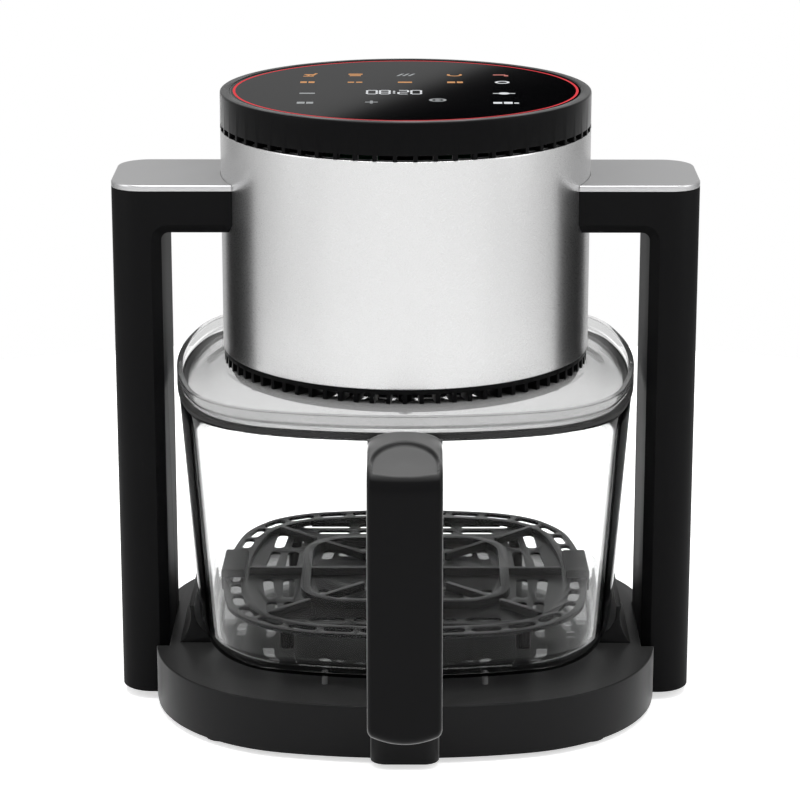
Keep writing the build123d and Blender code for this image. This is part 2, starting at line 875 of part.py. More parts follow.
with BuildPart() as head_liner:
    with BuildSketch(Plane.XY.offset(liner_bottom)):
        Circle(liner_radius)
    extrude(amount=liner_top - liner_bottom)
    with BuildSketch(Plane.XY.offset(liner_floor)):
        Circle(liner_radius - liner_wall)
    extrude(amount=liner_top - liner_floor, mode=Mode.SUBTRACT)
    with BuildSketch(Plane.XY.offset(channel_under - shelf_thickness)):
        Circle(liner_radius - liner_wall / 2)
        Rectangle(2 * shelf_x, 2 * head_radius, mode=Mode.SUBTRACT)
        with Locations((0, post_centre_y)):
            Rectangle(2 * head_radius, channel_depth + 8.0, mode=Mode.INTERSECT)
    extrude(amount=shelf_thickness)
    with Locations((0, post_centre_y, (channel_under + channel_top) / 2)):
        Box(
            3 * head_radius,
            channel_depth + 2 * window_gap,
            channel_top - channel_under,
            mode=Mode.SUBTRACT,
        )
    for side in (-1, 1):
        bolt_heights = (channel_under - shelf_thickness, channel_under)
        drill([(side * x, y) for x, y in bolt_places], arm_bolt_radius, *bolt_heights)
    with BuildSketch(Plane.XY.offset(liner_floor)):
        with Locations(*power_boss_places):
            Circle(4.0)
    extrude(amount=power_board_z - liner_floor)
    drill([(0, 0)], motor_hole_radius, liner_bottom, liner_floor)
    drill(terminal_places, terminal_hole, liner_bottom, liner_floor)
write(head_liner.part, "head_liner")

# Power board with its transformer, relay and capacitors, on the liner's bosses
with BuildPart() as power_board:
    with BuildSketch(Plane.XY.offset(power_board_z)):
        Rectangle(2 * power_boss_places[-1][0] + 10.0, 2 * power_boss_places[-1][1] + 10.0)
    extrude(amount=board_thickness)
    with BuildSketch(Plane.XY.offset(power_board_z + board_thickness)):
        with Locations((-28, 18)):
            RectangleRounded(28, 24, 2)
        with Locations((26, 24)):
            RectangleRounded(20, 16, 1)
    extrude(amount=power_part_height)
    with BuildSketch(Plane.XY.offset(power_board_z + board_thickness)):
        with Locations((20, -20), (38, -20), (2, -26)):
            Circle(6.5)
    extrude(amount=0.8 * power_part_height)
write(power_board.part, "power_board")

# Motor: bracket, stator housing, bearings, rotor and shaft
with BuildPart() as motor_bracket:
    with BuildSketch(Plane.XY.offset(liner_floor)):
        Circle(motor_radius + 9.0)
        Circle(shaft_radius + 4.0, mode=Mode.SUBTRACT)
    extrude(amount=plate_thickness)
write(motor_bracket.part, "motor_bracket")

rotor_bottom = bracket_top + bearing_height + rotor_gap
rotor_top = motor_top - bearing_height - rotor_gap
with BuildPart() as motor_housing:
    with BuildSketch(Plane.XY.offset(bracket_top)):
        Circle(motor_radius)
    extrude(amount=motor_height)
    fillet(motor_housing.edges().group_by(Axis.Z)[-1], 2.0)
    drill([(0, 0)], bearing_radius + fan_bore_fit, bracket_top, motor_top)
    drill(
        [(0, 0)],
        rotor_radius + rotor_gap,
        bracket_top + bearing_height,
        motor_top - bearing_height,
    )
write(motor_housing.part, "motor_housing")

with BuildPart() as motor_bearings:
    for bottom in (bracket_top, motor_top - bearing_height):
        with BuildSketch(Plane.XY.offset(bottom)):
            Circle(bearing_radius)
            Circle(shaft_radius + bearing_fit, mode=Mode.SUBTRACT)
        extrude(amount=bearing_height)
write(motor_bearings.part, "motor_bearings")

fan_top = reflector_top - 4.0
fan_bottom = fan_top - fan_height
nut_height = 5.0
shaft_bottom = fan_bottom - nut_height - 1.0
with BuildPart() as motor_shaft:
    with BuildSketch(Plane.XY.offset(shaft_bottom)):
        Circle(shaft_radius)
    extrude(amount=shaft_top - shaft_bottom)
    chamfer(motor_shaft.edges().group_by(Axis.Z)[0], 0.6)
write(motor_shaft.part, "motor_shaft")

with BuildPart() as motor_rotor:
    with BuildSketch(Plane.XY.offset(rotor_bottom)):
        Circle(rotor_radius)
        Circle(shaft_radius + fan_bore_fit, mode=Mode.SUBTRACT)
    extrude(amount=rotor_top - rotor_bottom)
write(motor_rotor.part, "motor_rotor")

# Fans: the large one stirs the hot air, the small one cools the motor
hub_radius = shaft_radius + 5.0
with BuildPart() as hot_air_fan:
    with BuildSketch(Plane.XY.offset(fan_top - fan_plate)):
        Circle(fan_radius)
    extrude(amount=fan_plate)
    with BuildSketch(Plane.XY.offset(fan_bottom)):
        Circle(hub_radius)
        blade_length = fan_radius - hub_radius - 12.0
        with PolarLocations(fan_radius - blade_length / 2, fan_blades):
            Rectangle(blade_length, fan_plate)
    extrude(amount=fan_height - fan_plate)
    drill([(0, 0)], shaft_radius + fan_bore_fit, fan_bottom, fan_top)
write(hot_air_fan.part, "hot_air_fan")

with BuildPart() as fan_nut:
    with BuildSketch(Plane.XY.offset(fan_bottom - nut_height)):
        RegularPolygon(shaft_radius + 3.0, 6)
        Circle(shaft_radius + fan_bore_fit, mode=Mode.SUBTRACT)
    extrude(amount=nut_height)
write(fan_nut.part, "fan_nut")

with BuildPart() as cooling_fan:
    with BuildSketch(Plane.XY.offset(cooling_bottom)):
        Circle(hub_radius)
        blade_length = cooling_fan_radius - hub_radius + 2.0
        with PolarLocations(cooling_fan_radius - blade_length / 2, cooling_blades):
            Rectangle(blade_length, fan_plate)
    extrude(amount=cooling_fan_height)
    drill([(0, 0)], shaft_radius + fan_bore_fit, cooling_bottom, shaft_top)
write(cooling_fan.part, "cooling_fan")

# Hot side: reflector dish, insulation above it, heating coil with its clips and the probe
with BuildPart() as heat_reflector:
    with BuildSketch(Plane.XY.offset(reflector_bottom)):
        Circle(reflector_radius)
    extrude(amount=reflector_depth)
    with BuildSketch(Plane.XY.offset(reflector_bottom)):
        Circle(reflector_radius - reflector_wall)
    extrude(amount=reflector_depth - reflector_wall, mode=Mode.SUBTRACT)
    with BuildSketch(Plane.XY.offset(reflector_bottom)):
        Circle(liner_radius)
        Circle(reflector_radius - reflector_wall, mode=Mode.SUBTRACT)
    extrude(amount=reflector_wall)
    drill([(0, 0)], shaft_radius + 4.0, reflector_bottom, reflector_top)
    drill(terminal_places, terminal_hole, reflector_bottom, reflector_top)
    drill([probe_place], probe_radius + 0.1, reflector_bottom + 2.0, reflector_top)
write(heat_reflector.part, "heat_reflector")

with BuildPart() as insulation_ring:
    with BuildSketch(Plane.XY.offset(insulation_bottom)):
        Circle(reflector_radius)
        Circle(motor_hole_radius, mode=Mode.SUBTRACT)
        with Locations(*terminal_places):
            Circle(terminal_hole, mode=Mode.SUBTRACT)
        with Locations(probe_place):
            Circle(probe_radius + 4.0, mode=Mode.SUBTRACT)
    extrude(amount=insulation_height)
write(insulation_ring.part, "insulation_ring")

with BuildPart() as heating_element:
    with BuildLine():
        up = terminal_top - element_z
        bend = terminal_bend * (1 - sin(radians(45)))
        turn_middle = (element_outer + element_inner) / 2
        turn_ahead = -(element_outer - element_inner) / 2
        Line(
            on_coil(element_outer, coil_first, terminal_bend, up),
            on_coil(element_outer, coil_first, terminal_bend, terminal_bend),
        )
        ThreePointArc(
            on_coil(element_outer, coil_first, terminal_bend, terminal_bend),
            on_coil(element_outer, coil_first, terminal_bend - bend, bend),
            on_coil(element_outer, coil_first),
        )
        ThreePointArc(
            on_coil(element_outer, coil_first),
            on_coil(element_outer, 180.0),
            on_coil(element_outer, coil_last),
        )
        ThreePointArc(
            on_coil(element_outer, coil_last),
            on_coil(turn_middle, coil_last, turn_ahead),
            on_coil(element_inner, coil_last),
        )
        ThreePointArc(
            on_coil(element_inner, coil_last),
            on_coil(element_inner, 180.0),
            on_coil(element_inner, coil_first),
        )
        ThreePointArc(
            on_coil(element_inner, coil_first),
            on_coil(element_inner, coil_first, terminal_bend - bend, bend),
            on_coil(element_inner, coil_first, terminal_bend, terminal_bend),
        )
        Line(
            on_coil(element_inner, coil_first, terminal_bend, terminal_bend),
            on_coil(element_inner, coil_first, terminal_bend, up),
        )
    start = on_coil(element_outer, coil_first, terminal_bend, up)
    with BuildSketch(Plane(start, z_dir=(0, 0, -1))):
        Circle(element_radius)
    sweep()
write(heating_element.part, "heating_element")

clip_inner = element_inner - element_radius - 2.0
clip_outer = reflector_radius - reflector_wall
with BuildPart() as element_clips:
    clip_bottom = element_z + element_radius + clip_gap
    clip_length = clip_outer - clip_inner
    with BuildSketch(Plane.XY.offset(clip_bottom)):
        with PolarLocations(clip_outer - clip_length / 2, clip_count, 60.0):
            Rectangle(clip_length, clip_width)
        Circle(clip_outer, mode=Mode.INTERSECT)
    extrude(amount=clip_thickness)
    leg_width = element_outer - element_inner - 2 * element_radius - 2.0
    leg_height = 2 * element_radius + clip_gap + 1.0
    with BuildSketch(Plane.XY.offset(clip_bottom - leg_height)):
        with PolarLocations((element_outer + element_inner) / 2, clip_count, 60.0):
            Rectangle(leg_width, clip_width)
    extrude(amount=leg_height)
write(element_clips.part, "element_clips")

with BuildPart() as temperature_probe:
    with Locations((*probe_place, reflector_top)):
        Cylinder(
            probe_radius,
            reflector_depth - 8.0,
            align=(Align.CENTER, Align.CENTER, Align.MAX),
        )
        Cylinder(probe_radius + 2.5, 2.0, align=(Align.CENTER, Align.CENTER, Align.MIN))
write(temperature_probe.part, "temperature_probe")

# Vent ring: a band with radial ribs under it, through which the hot air leaves
vent_outer = head_radius - vent_ring_inset
guard_circle = opening_radius + boss_radius + 0.6
guard_places = around(guard_circle, guard_screw_count, 30.0)
with BuildPart() as vent_ring:
    with BuildSketch(Plane.XY.offset(sleeve_bottom - vent_band_height)):
        Circle(vent_outer)
        Circle(opening_radius, mode=Mode.SUBTRACT)
    extrude(amount=vent_band_height)
    with BuildSketch(Plane.XY.offset(cover_seat)):
        with PolarLocations(vent_outer - vent_rib_depth / 2, vent_rib_count):
            Rectangle(vent_rib_depth, vent_rib_width)
        with Locations(*guard_places):
            Circle(boss_radius)
        Circle(vent_outer, mode=Mode.INTERSECT)
    extrude(amount=vent_height - vent_band_height)
    drill(guard_places, guard_screw_radius - 0.2, cover_seat, sleeve_bottom - 1.0)
write(vent_ring.part, "vent_ring")

# Glass cover: a tray with an upturned rim whose floor swells up to the seat of the vent ring
flat_radius = cover_half_depth - cover_border
seat_under = cover_seat - cover_seat_thickness
with BuildPart() as glass_cover:
    with BuildSketch(Plane.XY.offset(cover_bottom)):
        add(cover_outline())
    extrude(amount=cover_rim_height)
    with BuildSketch(Plane.XY.offset(cover_floor)):
        add(cover_outline(cover_wall))
    extrude(amount=cover_top - cover_floor, mode=Mode.SUBTRACT)
    border_edges = glass_cover.faces().filter_by(Axis.Z).sort_by_distance((0, 0, cover_floor))[0]
    fillet(border_edges.edges(), cover_border - cover_wall - 0.3)
    fillet(glass_cover.faces().filter_by(Axis.Z).sort_by(Axis.Z)[-1].edges(), cover_edge_round)
    with BuildSketch(Plane.XZ):
        with BuildLine():
            Spline(
                (head_radius, cover_seat),
                (flat_radius, cover_floor),
                tangents=((1, 0), (1, 0)),
            )
            Polyline(
                (flat_radius, cover_floor),
                (flat_radius, cover_bottom),
                (opening_radius, cover_bottom),
                (opening_radius, cover_seat),
                (head_radius, cover_seat),
            )
        make_face()
    revolve(axis=Axis.Z)
    with BuildSketch(Plane.XZ):
        with BuildLine():
            Spline(
                (head_radius, seat_under),
                (flat_radius - 1.0, cover_bottom),
                tangents=((1, 0), (1, -0.4)),
            )
            Polyline(
                (flat_radius - 1.0, cover_bottom),
                (0, cover_bottom),
                (0, seat_under),
                (head_radius, seat_under),
            )
        make_face()
    revolve(axis=Axis.Z, mode=Mode.SUBTRACT)
    drill([(0, 0)], opening_radius, seat_under, cover_seat)
    drill(guard_places, guard_screw_radius + 0.3, seat_under, cover_seat)
write(glass_cover.part, "glass_cover")

with BuildPart() as cover_gasket:
    with BuildSketch(Plane.XY.offset(gasket_bottom)):
        add(cover_outline(gasket_inset))
        add(cover_outline(gasket_inset + gasket_width), mode=Mode.SUBTRACT)
    extrude(amount=gasket_thickness)
write(cover_gasket.part, "cover_gasket")

# Grille under the fan, held with the cover to the vent ring by screws
guard_bottom = seat_under - guard_thickness
with BuildPart() as fan_guard:
    with BuildSketch(Plane.XY.offset(guard_bottom)):
        Circle(guard_circle + guard_flange)
        for circle, count in ((26.0, 10), (44.0, 18), (62.0, 26), (77.0, 34)):
            with PolarLocations(circle, count):
                SlotOverall(12.0, 5.0, mode=Mode.SUBTRACT)
        with Locations(*guard_places):
            Circle(guard_screw_radius + 0.3, mode=Mode.SUBTRACT)
    extrude(amount=guard_thickness)
write(fan_guard.part, "fan_guard")

with BuildPart() as guard_screws:
    with Locations(*[(x, y, guard_bottom) for x, y in guard_places]):
        Cylinder(3.4, 1.6, align=(Align.CENTER, Align.CENTER, Align.MAX))
        Cylinder(
            guard_screw_radius - 0.3,
            sleeve_bottom - 2.0 - guard_bottom,
            align=(Align.CENTER, Align.CENTER, Align.MIN),
        )
write(guard_screws.part, "guard_screws")

# Mains lead inside the base, up the left post and through its arm to the power board
lead_x = channel_x + channel_width / 2
lead_end = (channel_under + channel_top) / 2
lead_start = (0, base_rear - 1.0, lead_height)
with BuildPart() as power_lead:
    with BuildLine():
        FilletPolyline(
            lead_start,
            (0, base_half_depth * 0.8, lead_height),
            (-base_half_width * 0.55, base_half_depth * 0.7, lead_height),
            (-base_half_width * 0.8, post_centre_y, lead_height),
            (-lead_x, post_centre_y, lead_height),
            (-lead_x, post_centre_y, lead_end),
            (-channel_end + 14.0, post_centre_y, lead_end),
            radius=lead_bend,
        )
    with BuildSketch(Plane(lead_start, z_dir=(0, -1, 0))):
        Circle(lead_radius)
    sweep()
write(power_lead.part, "power_lead")

# Stop behind the bowl with a spring-loaded plunger and a switch, which senses the bowl
stop_top = base_top + stop_height
stop_front = cover_half_depth - bowl_wall_inset(stop_top) + stop_gap
stop_rear = stop_front + stop_depth
plunger_z = base_top + plunger_height
plunger_tip = cover_half_depth - bowl_wall_inset(plunger_z) + plunger_gap
plunger_back = stop_front + stop_wall + 0.1 + plunger_travel
switch_front = stop_rear - switch_depth

with BuildPart() as rear_stop:
    with Locations((0, stop_front, base_top)):
        Box(
            stop_width,
            stop_depth,
            stop_height,
            align=(Align.CENTER, Align.MIN, Align.MIN),
        )
    fillet(rear_stop.edges().filter_by(Axis.Z), 1.5)
    fillet(rear_stop.edges().group_by(Axis.Z)[-1], 1.5)
    with Locations(Location((0, stop_front, plunger_z), (-90, 0, 0))):
        Cylinder(
            plunger_radius + plunger_fit,
            stop_wall,
            align=(Align.CENTER, Align.CENTER, Align.MIN),
            mode=Mode.SUBTRACT,
        )
    with Locations(Location((0, stop_front + stop_wall, plunger_z), (-90, 0, 0))):
        Cylinder(
            stop_bore,
            stop_depth,
            align=(Align.CENTER, Align.CENTER, Align.MIN),
            mode=Mode.SUBTRACT,
        )
write(rear_stop.part, "rear_stop")

with BuildPart() as interlock_plunger:
    with Locations(Location((0, plunger_tip, plunger_z), (-90, 0, 0))):
        Cylinder(
            plunger_radius,
            plunger_back - plunger_tip,
            align=(Align.CENTER, Align.CENTER, Align.MIN),
        )
    fillet(interlock_plunger.edges().group_by(Axis.Y)[0], 0.8)
    with Locations(Location((0, plunger_back, plunger_z), (-90, 0, 0))):
        Cylinder(
            plunger_head_radius,
            plunger_head,
            align=(Align.CENTER, Align.CENTER, Align.MIN),
        )
write(interlock_plunger.part, "interlock_plunger")

spring_front = plunger_back + plunger_head + 0.1
spring_length = switch_front - spring_front - 2 * spring_wire - 0.1
with BuildPart() as interlock_spring:
    with BuildLine() as spring_path:
        Helix(
            pitch=spring_length / 2,
            height=spring_length,
            radius=plunger_radius + 0.4,
            center=(0, spring_front + spring_wire, plunger_z),
            direction=(0, 1, 0),
        )
    with BuildSketch(Plane(spring_path.line @ 0, z_dir=spring_path.line % 0)):
        Circle(spring_wire)
    sweep()
write(interlock_spring.part, "interlock_spring")

with BuildPart() as interlock_switch:
    with Locations(Location((0, switch_front, plunger_z), (-90, 0, 0))):
        Cylinder(
            stop_bore - 0.1,
            switch_depth,
            align=(Align.CENTER, Align.CENTER, Align.MIN),
        )
write(interlock_switch.part, "interlock_switch")


# Glass bowl: tapered soft square with a round foot, and two holes for the handle's screws
def bowl_shape(inset, bottom, bottom_round):
    """The tapered bowl, moved in by inset, down to a height."""
    with BuildPart() as shape:
        with BuildSketch(Plane((0, 0, bowl_top), x_dir=(1, 0, 0), z_dir=(0, 0, -1))):
            add(cover_outline(bowl_inset + inset))
        extrude(amount=bowl_top - bottom, taper=bowl_taper)
        fillet(shape.edges().group_by(Axis.Z)[0], bottom_round)
    return shape.part


screw_z = bowl_top - 18.0
screw_heights = [screw_z + side * glass_screw_pitch / 2 for side in (-1, 1)]


def on_wall(height, out=0.0):
    """A plane on the outside of the bowl's front wall, facing away from it."""
    tilt = radians(bowl_taper)
    wall_y = bowl_wall_inset(height) - cover_half_depth
    return Plane(
        origin=(0, wall_y - out * cos(tilt), height - out * sin(tilt)),
        x_dir=(1, 0, 0),
        z_dir=(0, -cos(tilt), -sin(tilt)),
    )


with BuildPart() as glass_bowl:
    add(bowl_shape(0.0, bowl_bottom, bowl_bottom_radius))
    add(
        bowl_shape(bowl_wall, bowl_bottom + bowl_floor, inner_bottom_radius),
        mode=Mode.SUBTRACT,
    )
    fillet(glass_bowl.edges().group_by(Axis.Z)[-1], bowl_rim_round)
    for height in screw_heights:
        with BuildSketch(on_wall(height, 5.0)):
            Circle(glass_hole_radius)
        extrude(amount=-bowl_wall - 10.0, mode=Mode.SUBTRACT)
write(glass_bowl.part, "glass_bowl")

# Handle: a broad bar that leaves the bowl's wall, turns down and ends above the floor
handle_top = bowl_top + handle_rise
handle_start = -(cover_half_depth + handle_gap)
slope_drop = (handle_start - handle_front) * tan(radians(handle_slope))
root_bottom = handle_top - handle_root_height
handle_tip = handle_bottom - 1.0
grip_rear = handle_front + handle_thickness
insert_y = handle_front + handle_thickness * 0.62
insert_top = screw_z + insert_thickness / 2
back_bottom = handle_bottom + 16.0
back_middle = back_bottom + back_length / 2
back_screw_heights = [back_middle + side * back_length * 0.36 for side in (-1, 1)]


def insert_shape(fit):
    """The steel strip in the handle: down the grip and back to the bowl."""
    with BuildPart() as shape:
        with BuildSketch(Plane.YZ.offset(-insert_width / 2 - fit)):
            with BuildLine():
                Polyline(
                    (insert_y - fit, back_bottom - fit),
                    (insert_y - fit, insert_top + fit),
                    (handle_start + 1.0 - 4.0 + fit, insert_top + fit),
                    (handle_start + 1.0 - 4.0 + fit, insert_top - insert_thickness - fit),
                    (insert_y + insert_thickness + fit, insert_top - insert_thickness - fit),
                    (insert_y + insert_thickness + fit, back_bottom - fit),
                    close=True,
                )
            make_face()
        extrude(amount=insert_width + 2 * fit)
    return shape.part


with BuildPart() as bowl_handle:
    with BuildSketch(Plane.YZ.offset(-handle_width / 2)) as side_view:
        with BuildLine():
            Polyline(
                (handle_start, handle_top),
                (handle_front, handle_top - slope_drop),
                (handle_front, handle_tip),
                (grip_rear, handle_tip),
                (grip_rear, root_bottom),
                (handle_start + 12.0, root_bottom),
                (handle_start + 12.0, bowl_top - 0.4),
                (handle_start, bowl_top - 0.4),
                close=True,
            )
        make_face()
        for corner, bend in (
            ((handle_front, handle_top - slope_drop), handle_elbow),
            ((grip_rear, root_bottom), handle_inner_elbow),
            ((handle_front, handle_tip), handle_tip_round),
            ((grip_rear, handle_tip), handle_tip_round),
        ):
            fillet(side_view.vertices().sort_by_distance(corner)[0], bend)
    extrude(amount=handle_width)
    with BuildSketch(Plane.XZ.offset(-handle_start - 20.0)) as front_view:
        with BuildLine():
            left_low = (-handle_width / 2, handle_bottom + handle_crown)
            right_low = (handle_width / 2, handle_bottom + handle_crown)
            ThreePointArc(left_low, (0, handle_bottom), right_low)
            Polyline(
                right_low,
                (handle_width / 2, handle_top + 1.0),
                (-handle_width / 2, handle_top + 1.0),
                left_low,
            )
        make_face()
        fillet(front_view.vertices().group_by(Axis.Y)[0], handle_corner)
    extrude(amount=2 * handle_reach, mode=Mode.INTERSECT)
    long_edges = [
        edge
        for side in (0, -1)
        for edge in bowl_handle.faces().filter_by(Axis.X).sort_by(Axis.X)[side].edges()
        if edge.center().Y < handle_start - 1.0
    ]
    fillet(long_edges, handle_edge)
    slope_place = (
        0,
        handle_start - recess_length / 2 - recess_start,
        handle_top - (recess_length / 2 + recess_start) * tan(radians(handle_slope)),
    )
    slope_normal = (0, -sin(radians(handle_slope)), cos(radians(handle_slope)))
    with BuildSketch(Plane(slope_place, x_dir=(1, 0, 0), z_dir=slope_normal)):
        RectangleRounded(recess_width, recess_length, 8.0)
    extrude(amount=-recess_depth, mode=Mode.SUBTRACT)
    add(bowl_shape(-bowl_clearance, bowl_bottom, bowl_bottom_radius), mode=Mode.SUBTRACT)
    for height in screw_heights:
        with BuildSketch(on_wall(height, -1.0)):
            Circle(washer_radius + back_fit)
        extrude(amount=washer_thickness + 1.0, mode=Mode.SUBTRACT)
        with BuildSketch(on_wall(height)):
            Circle(glass_screw_radius + 0.05)
        extrude(amount=screw_reach, mode=Mode.SUBTRACT)
    add(insert_shape(insert_fit), mode=Mode.SUBTRACT)
    with BuildSketch(Plane.XZ.offset(-grip_rear)):
        with Locations((0, back_middle)):
            RectangleRounded(back_width + 2 * back_fit, back_length + 2 * back_fit, 5.0)
    extrude(amount=back_thickness + back_fit, mode=Mode.SUBTRACT)
    with BuildSketch(Plane.XZ.offset(-grip_rear)):
        with Locations(*[(0, height) for height in back_screw_heights]):
            Circle(back_screw_radius + 0.05)
    extrude(amount=handle_thickness - 3.0, mode=Mode.SUBTRACT)
write(bowl_handle.part, "bowl_handle")

with BuildPart() as handle_insert:
    add(insert_shape(0.0))
    with BuildSketch(Plane.XZ.offset(-grip_rear)):
        with Locations(*[(0, height) for height in back_screw_heights]):
            Circle(back_screw_radius + 0.3)
    extrude(amount=handle_thickness, mode=Mode.SUBTRACT)
write(handle_insert.part, "handle_insert")

with BuildPart() as handle_back:
    with BuildSketch(Plane.XZ.offset(-grip_rear)):
        with Locations((0, back_middle)):
            RectangleRounded(back_width, back_length, 5.0 - back_fit)
        with Locations(*[(0, height) for height in back_screw_heights]):
            Circle(back_screw_radius + 0.2, mode=Mode.SUBTRACT)
    extrude(amount=back_thickness)
write(handle_back.part, "handle_back")

with BuildPart() as handle_back_screws:
    for height in back_screw_heights:
        with Locations(Location((0, grip_rear, height), (-90, 0, 0))):
            Cylinder(2.4, 1.4, align=(Align.CENTER, Align.CENTER, Align.MIN))
        with Locations(Location((0, grip_rear, height), (90, 0, 0))):
            Cylinder(
                back_screw_radius,
                handle_thickness - 4.0,
                align=(Align.CENTER, Align.CENTER, Align.MIN),
            )
write(handle_back_screws.part, "handle_back_screws")

# Screws from inside the bowl into the handle, with soft washers on both sides of the glass
with BuildPart() as handle_screws:
    for height in screw_heights:
        head_inset = -bowl_wall - washer_thickness - washer_gap
        with BuildSketch(on_wall(height, head_inset)):
            Circle(screw_head_radius)
        extrude(amount=-screw_head_height)
        with BuildSketch(on_wall(height, head_inset)):
            Circle(glass_screw_radius)
        extrude(amount=screw_reach - head_inset - 1.0)
    fillet(handle_screws.edges().group_by(Axis.Y)[-1], 1.2)
write(handle_screws.part, "handle_screws")

with BuildPart() as handle_washers:
    for height in screw_heights:
        for out in (0.0, -bowl_wall - washer_thickness - washer_gap):
            with BuildSketch(on_wall(height, out)):
                Circle(washer_radius)
                Circle(glass_hole_radius, mode=Mode.SUBTRACT)
            extrude(amount=washer_thickness)
write(handle_washers.part, "handle_washers")

# Crisper rack: slotted rim, lower floor with raised ribs, and four feet on the bowl's floor
rack_floor_top = rim_top - rack_step
rack_floor_under = rack_floor_top - rack_floor
rib_half = rack_half_width - rack_rim_width - 0.5


def bar(start, end, width):
    """A straight bar between two points, seen from above."""
    middle = ((start[0] + end[0]) / 2, (start[1] + end[1]) / 2)
    turn = degrees(atan2(end[1] - start[1], end[0] - start[0]))
    with BuildSketch() as shape:
        with Locations(Location((*middle, 0), (0, 0, turn))):
            SlotOverall(hypot(end[0] - start[0], end[1] - start[1]), width)
    return shape.sketch


def in_quadrants(start, end):
    """The same bar's ends in all four quarters of the rack."""
    return [
        ((x * start[0], y * start[1]), (x * end[0], y * end[1]))
        for x in (-1, 1)
        for y in (-1, 1)
    ]


rim_middle = rack_outline(rack_rim_width / 2).wire()
rim_count = 2 * round(rim_middle.length / rack_slot_pitch / 2)
front_middle = rim_middle.param_at_point((0, rack_rim_width / 2 - rack_half_depth))
outer_slots = [
    *in_quadrants((31, 83.5), (58.5, 83.5)),
    *in_quadrants((31, 73), (50, 73)),
    *in_quadrants((71, 45), (69, 70)),
    *in_quadrants((75, 8), (72, 38)),
    *in_quadrants((63, 8), (62, 38)),
    *in_quadrants((61.5, 45), (60, 61)),
    *in_quadrants((44, 25), (42, 41)),
    *in_quadrants((34, 30), (34, 40)),
    *[((-27, y), (27, y)) for y in (-83.5, -73, -44, 44, 73, 83.5)],
]

with BuildPart() as crisper_rack:
    with BuildSketch(Plane.XY.offset(rim_under)):
        add(rack_outline())
    extrude(amount=rack_rim_thickness)
    fillet(crisper_rack.edges().group_by(Axis.Z)[-1], 0.8)
    with BuildSketch(Plane.XY.offset(rack_floor_under)):
        add(rack_outline(rack_rim_width - 2.0))
    extrude(amount=rim_under - rack_floor_under)
    with BuildSketch(Plane.XY.offset(rack_floor_top)):
        add(rack_outline(rack_rim_width))
    extrude(amount=rack_step, mode=Mode.SUBTRACT)
    with BuildSketch(Plane.XY.offset(rack_floor_top - 0.5)):
        RectangleRounded(2 * rack_ridge_half, 2 * rack_ridge_half, rack_ridge_corner)
        RectangleRounded(
            2 * (rack_ridge_half - rack_ridge_width),
            2 * (rack_ridge_half - rack_ridge_width),
            rack_ridge_corner - rack_ridge_width,
            mode=Mode.SUBTRACT,
        )
        add(bar((-rib_half, 0), (rib_half, 0), rack_rib_width))
        for start, end in in_quadrants((71, 72), (50, 51)) + in_quadrants((46, 47), (22, 24)):
            add(bar(start, end, rack_rib_width))
    extrude(amount=rack_ridge_height + 0.5)
    with BuildSketch(Plane.XY.offset(rim_under)):
        for turn in range(rim_count):
            along = (front_middle + (turn + 0.5) / rim_count) % 1.0
            place = rim_middle @ along
            ahead = (rim_middle % along) * (rack_slot_length / 2)
            slot_start = (place.X - ahead.X, place.Y - ahead.Y)
            slot_end = (place.X + ahead.X, place.Y + ahead.Y)
            add(bar(slot_start, slot_end, rack_slot_width))
    extrude(amount=rack_rim_thickness, mode=Mode.SUBTRACT)
    with BuildSketch(Plane.XY.offset(rack_floor_under)):
        for start, end in outer_slots:
            add(bar(start, end, rack_slot_width))
    extrude(amount=rack_floor, mode=Mode.SUBTRACT)
    with BuildSketch(Plane.XY.offset(bowl_inside)):
        with GridLocations(2 * rack_foot_spread, 2 * rack_foot_spread, 2, 2):
            Circle(rack_foot_radius)
    extrude(amount=rack_floor_under - bowl_inside)
write(crisper_rack.part, "crisper_rack")

# Soft bumpers clipped over the rim at both sides
with BuildPart() as rack_bumpers:
    for side in (-1, 1):
        with BuildSketch(Plane.XZ.offset(-bumper_shift - bumper_length / 2)):
            with BuildLine():
                inner_x = rack_half_width - bumper_width
                lip_x = rack_half_width + bumper_fit
                outer_x = lip_x + bumper_proud
                hook_x = lip_x - bumper_hook
                Polyline(
                    (side * inner_x, rim_top + bumper_fit),
                    (side * inner_x, rim_top + bumper_rise),
                    (side * outer_x, rim_top + bumper_rise),
                    (side * outer_x, rim_top - bumper_drop),
                    (side * hook_x, rim_top - bumper_drop),
                    (side * hook_x, rim_under - bumper_fit),
                    (side * lip_x, rim_under - bumper_fit),
                    (side * lip_x, rim_top + bumper_fit),
                    close=True,
                )
            make_face()
        extrude(amount=bumper_length)
    fillet(rack_bumpers.edges().group_by(Axis.Z)[-1].filter_by(Axis.Y), 1.5)
write(rack_bumpers.part, "rack_bumpers")
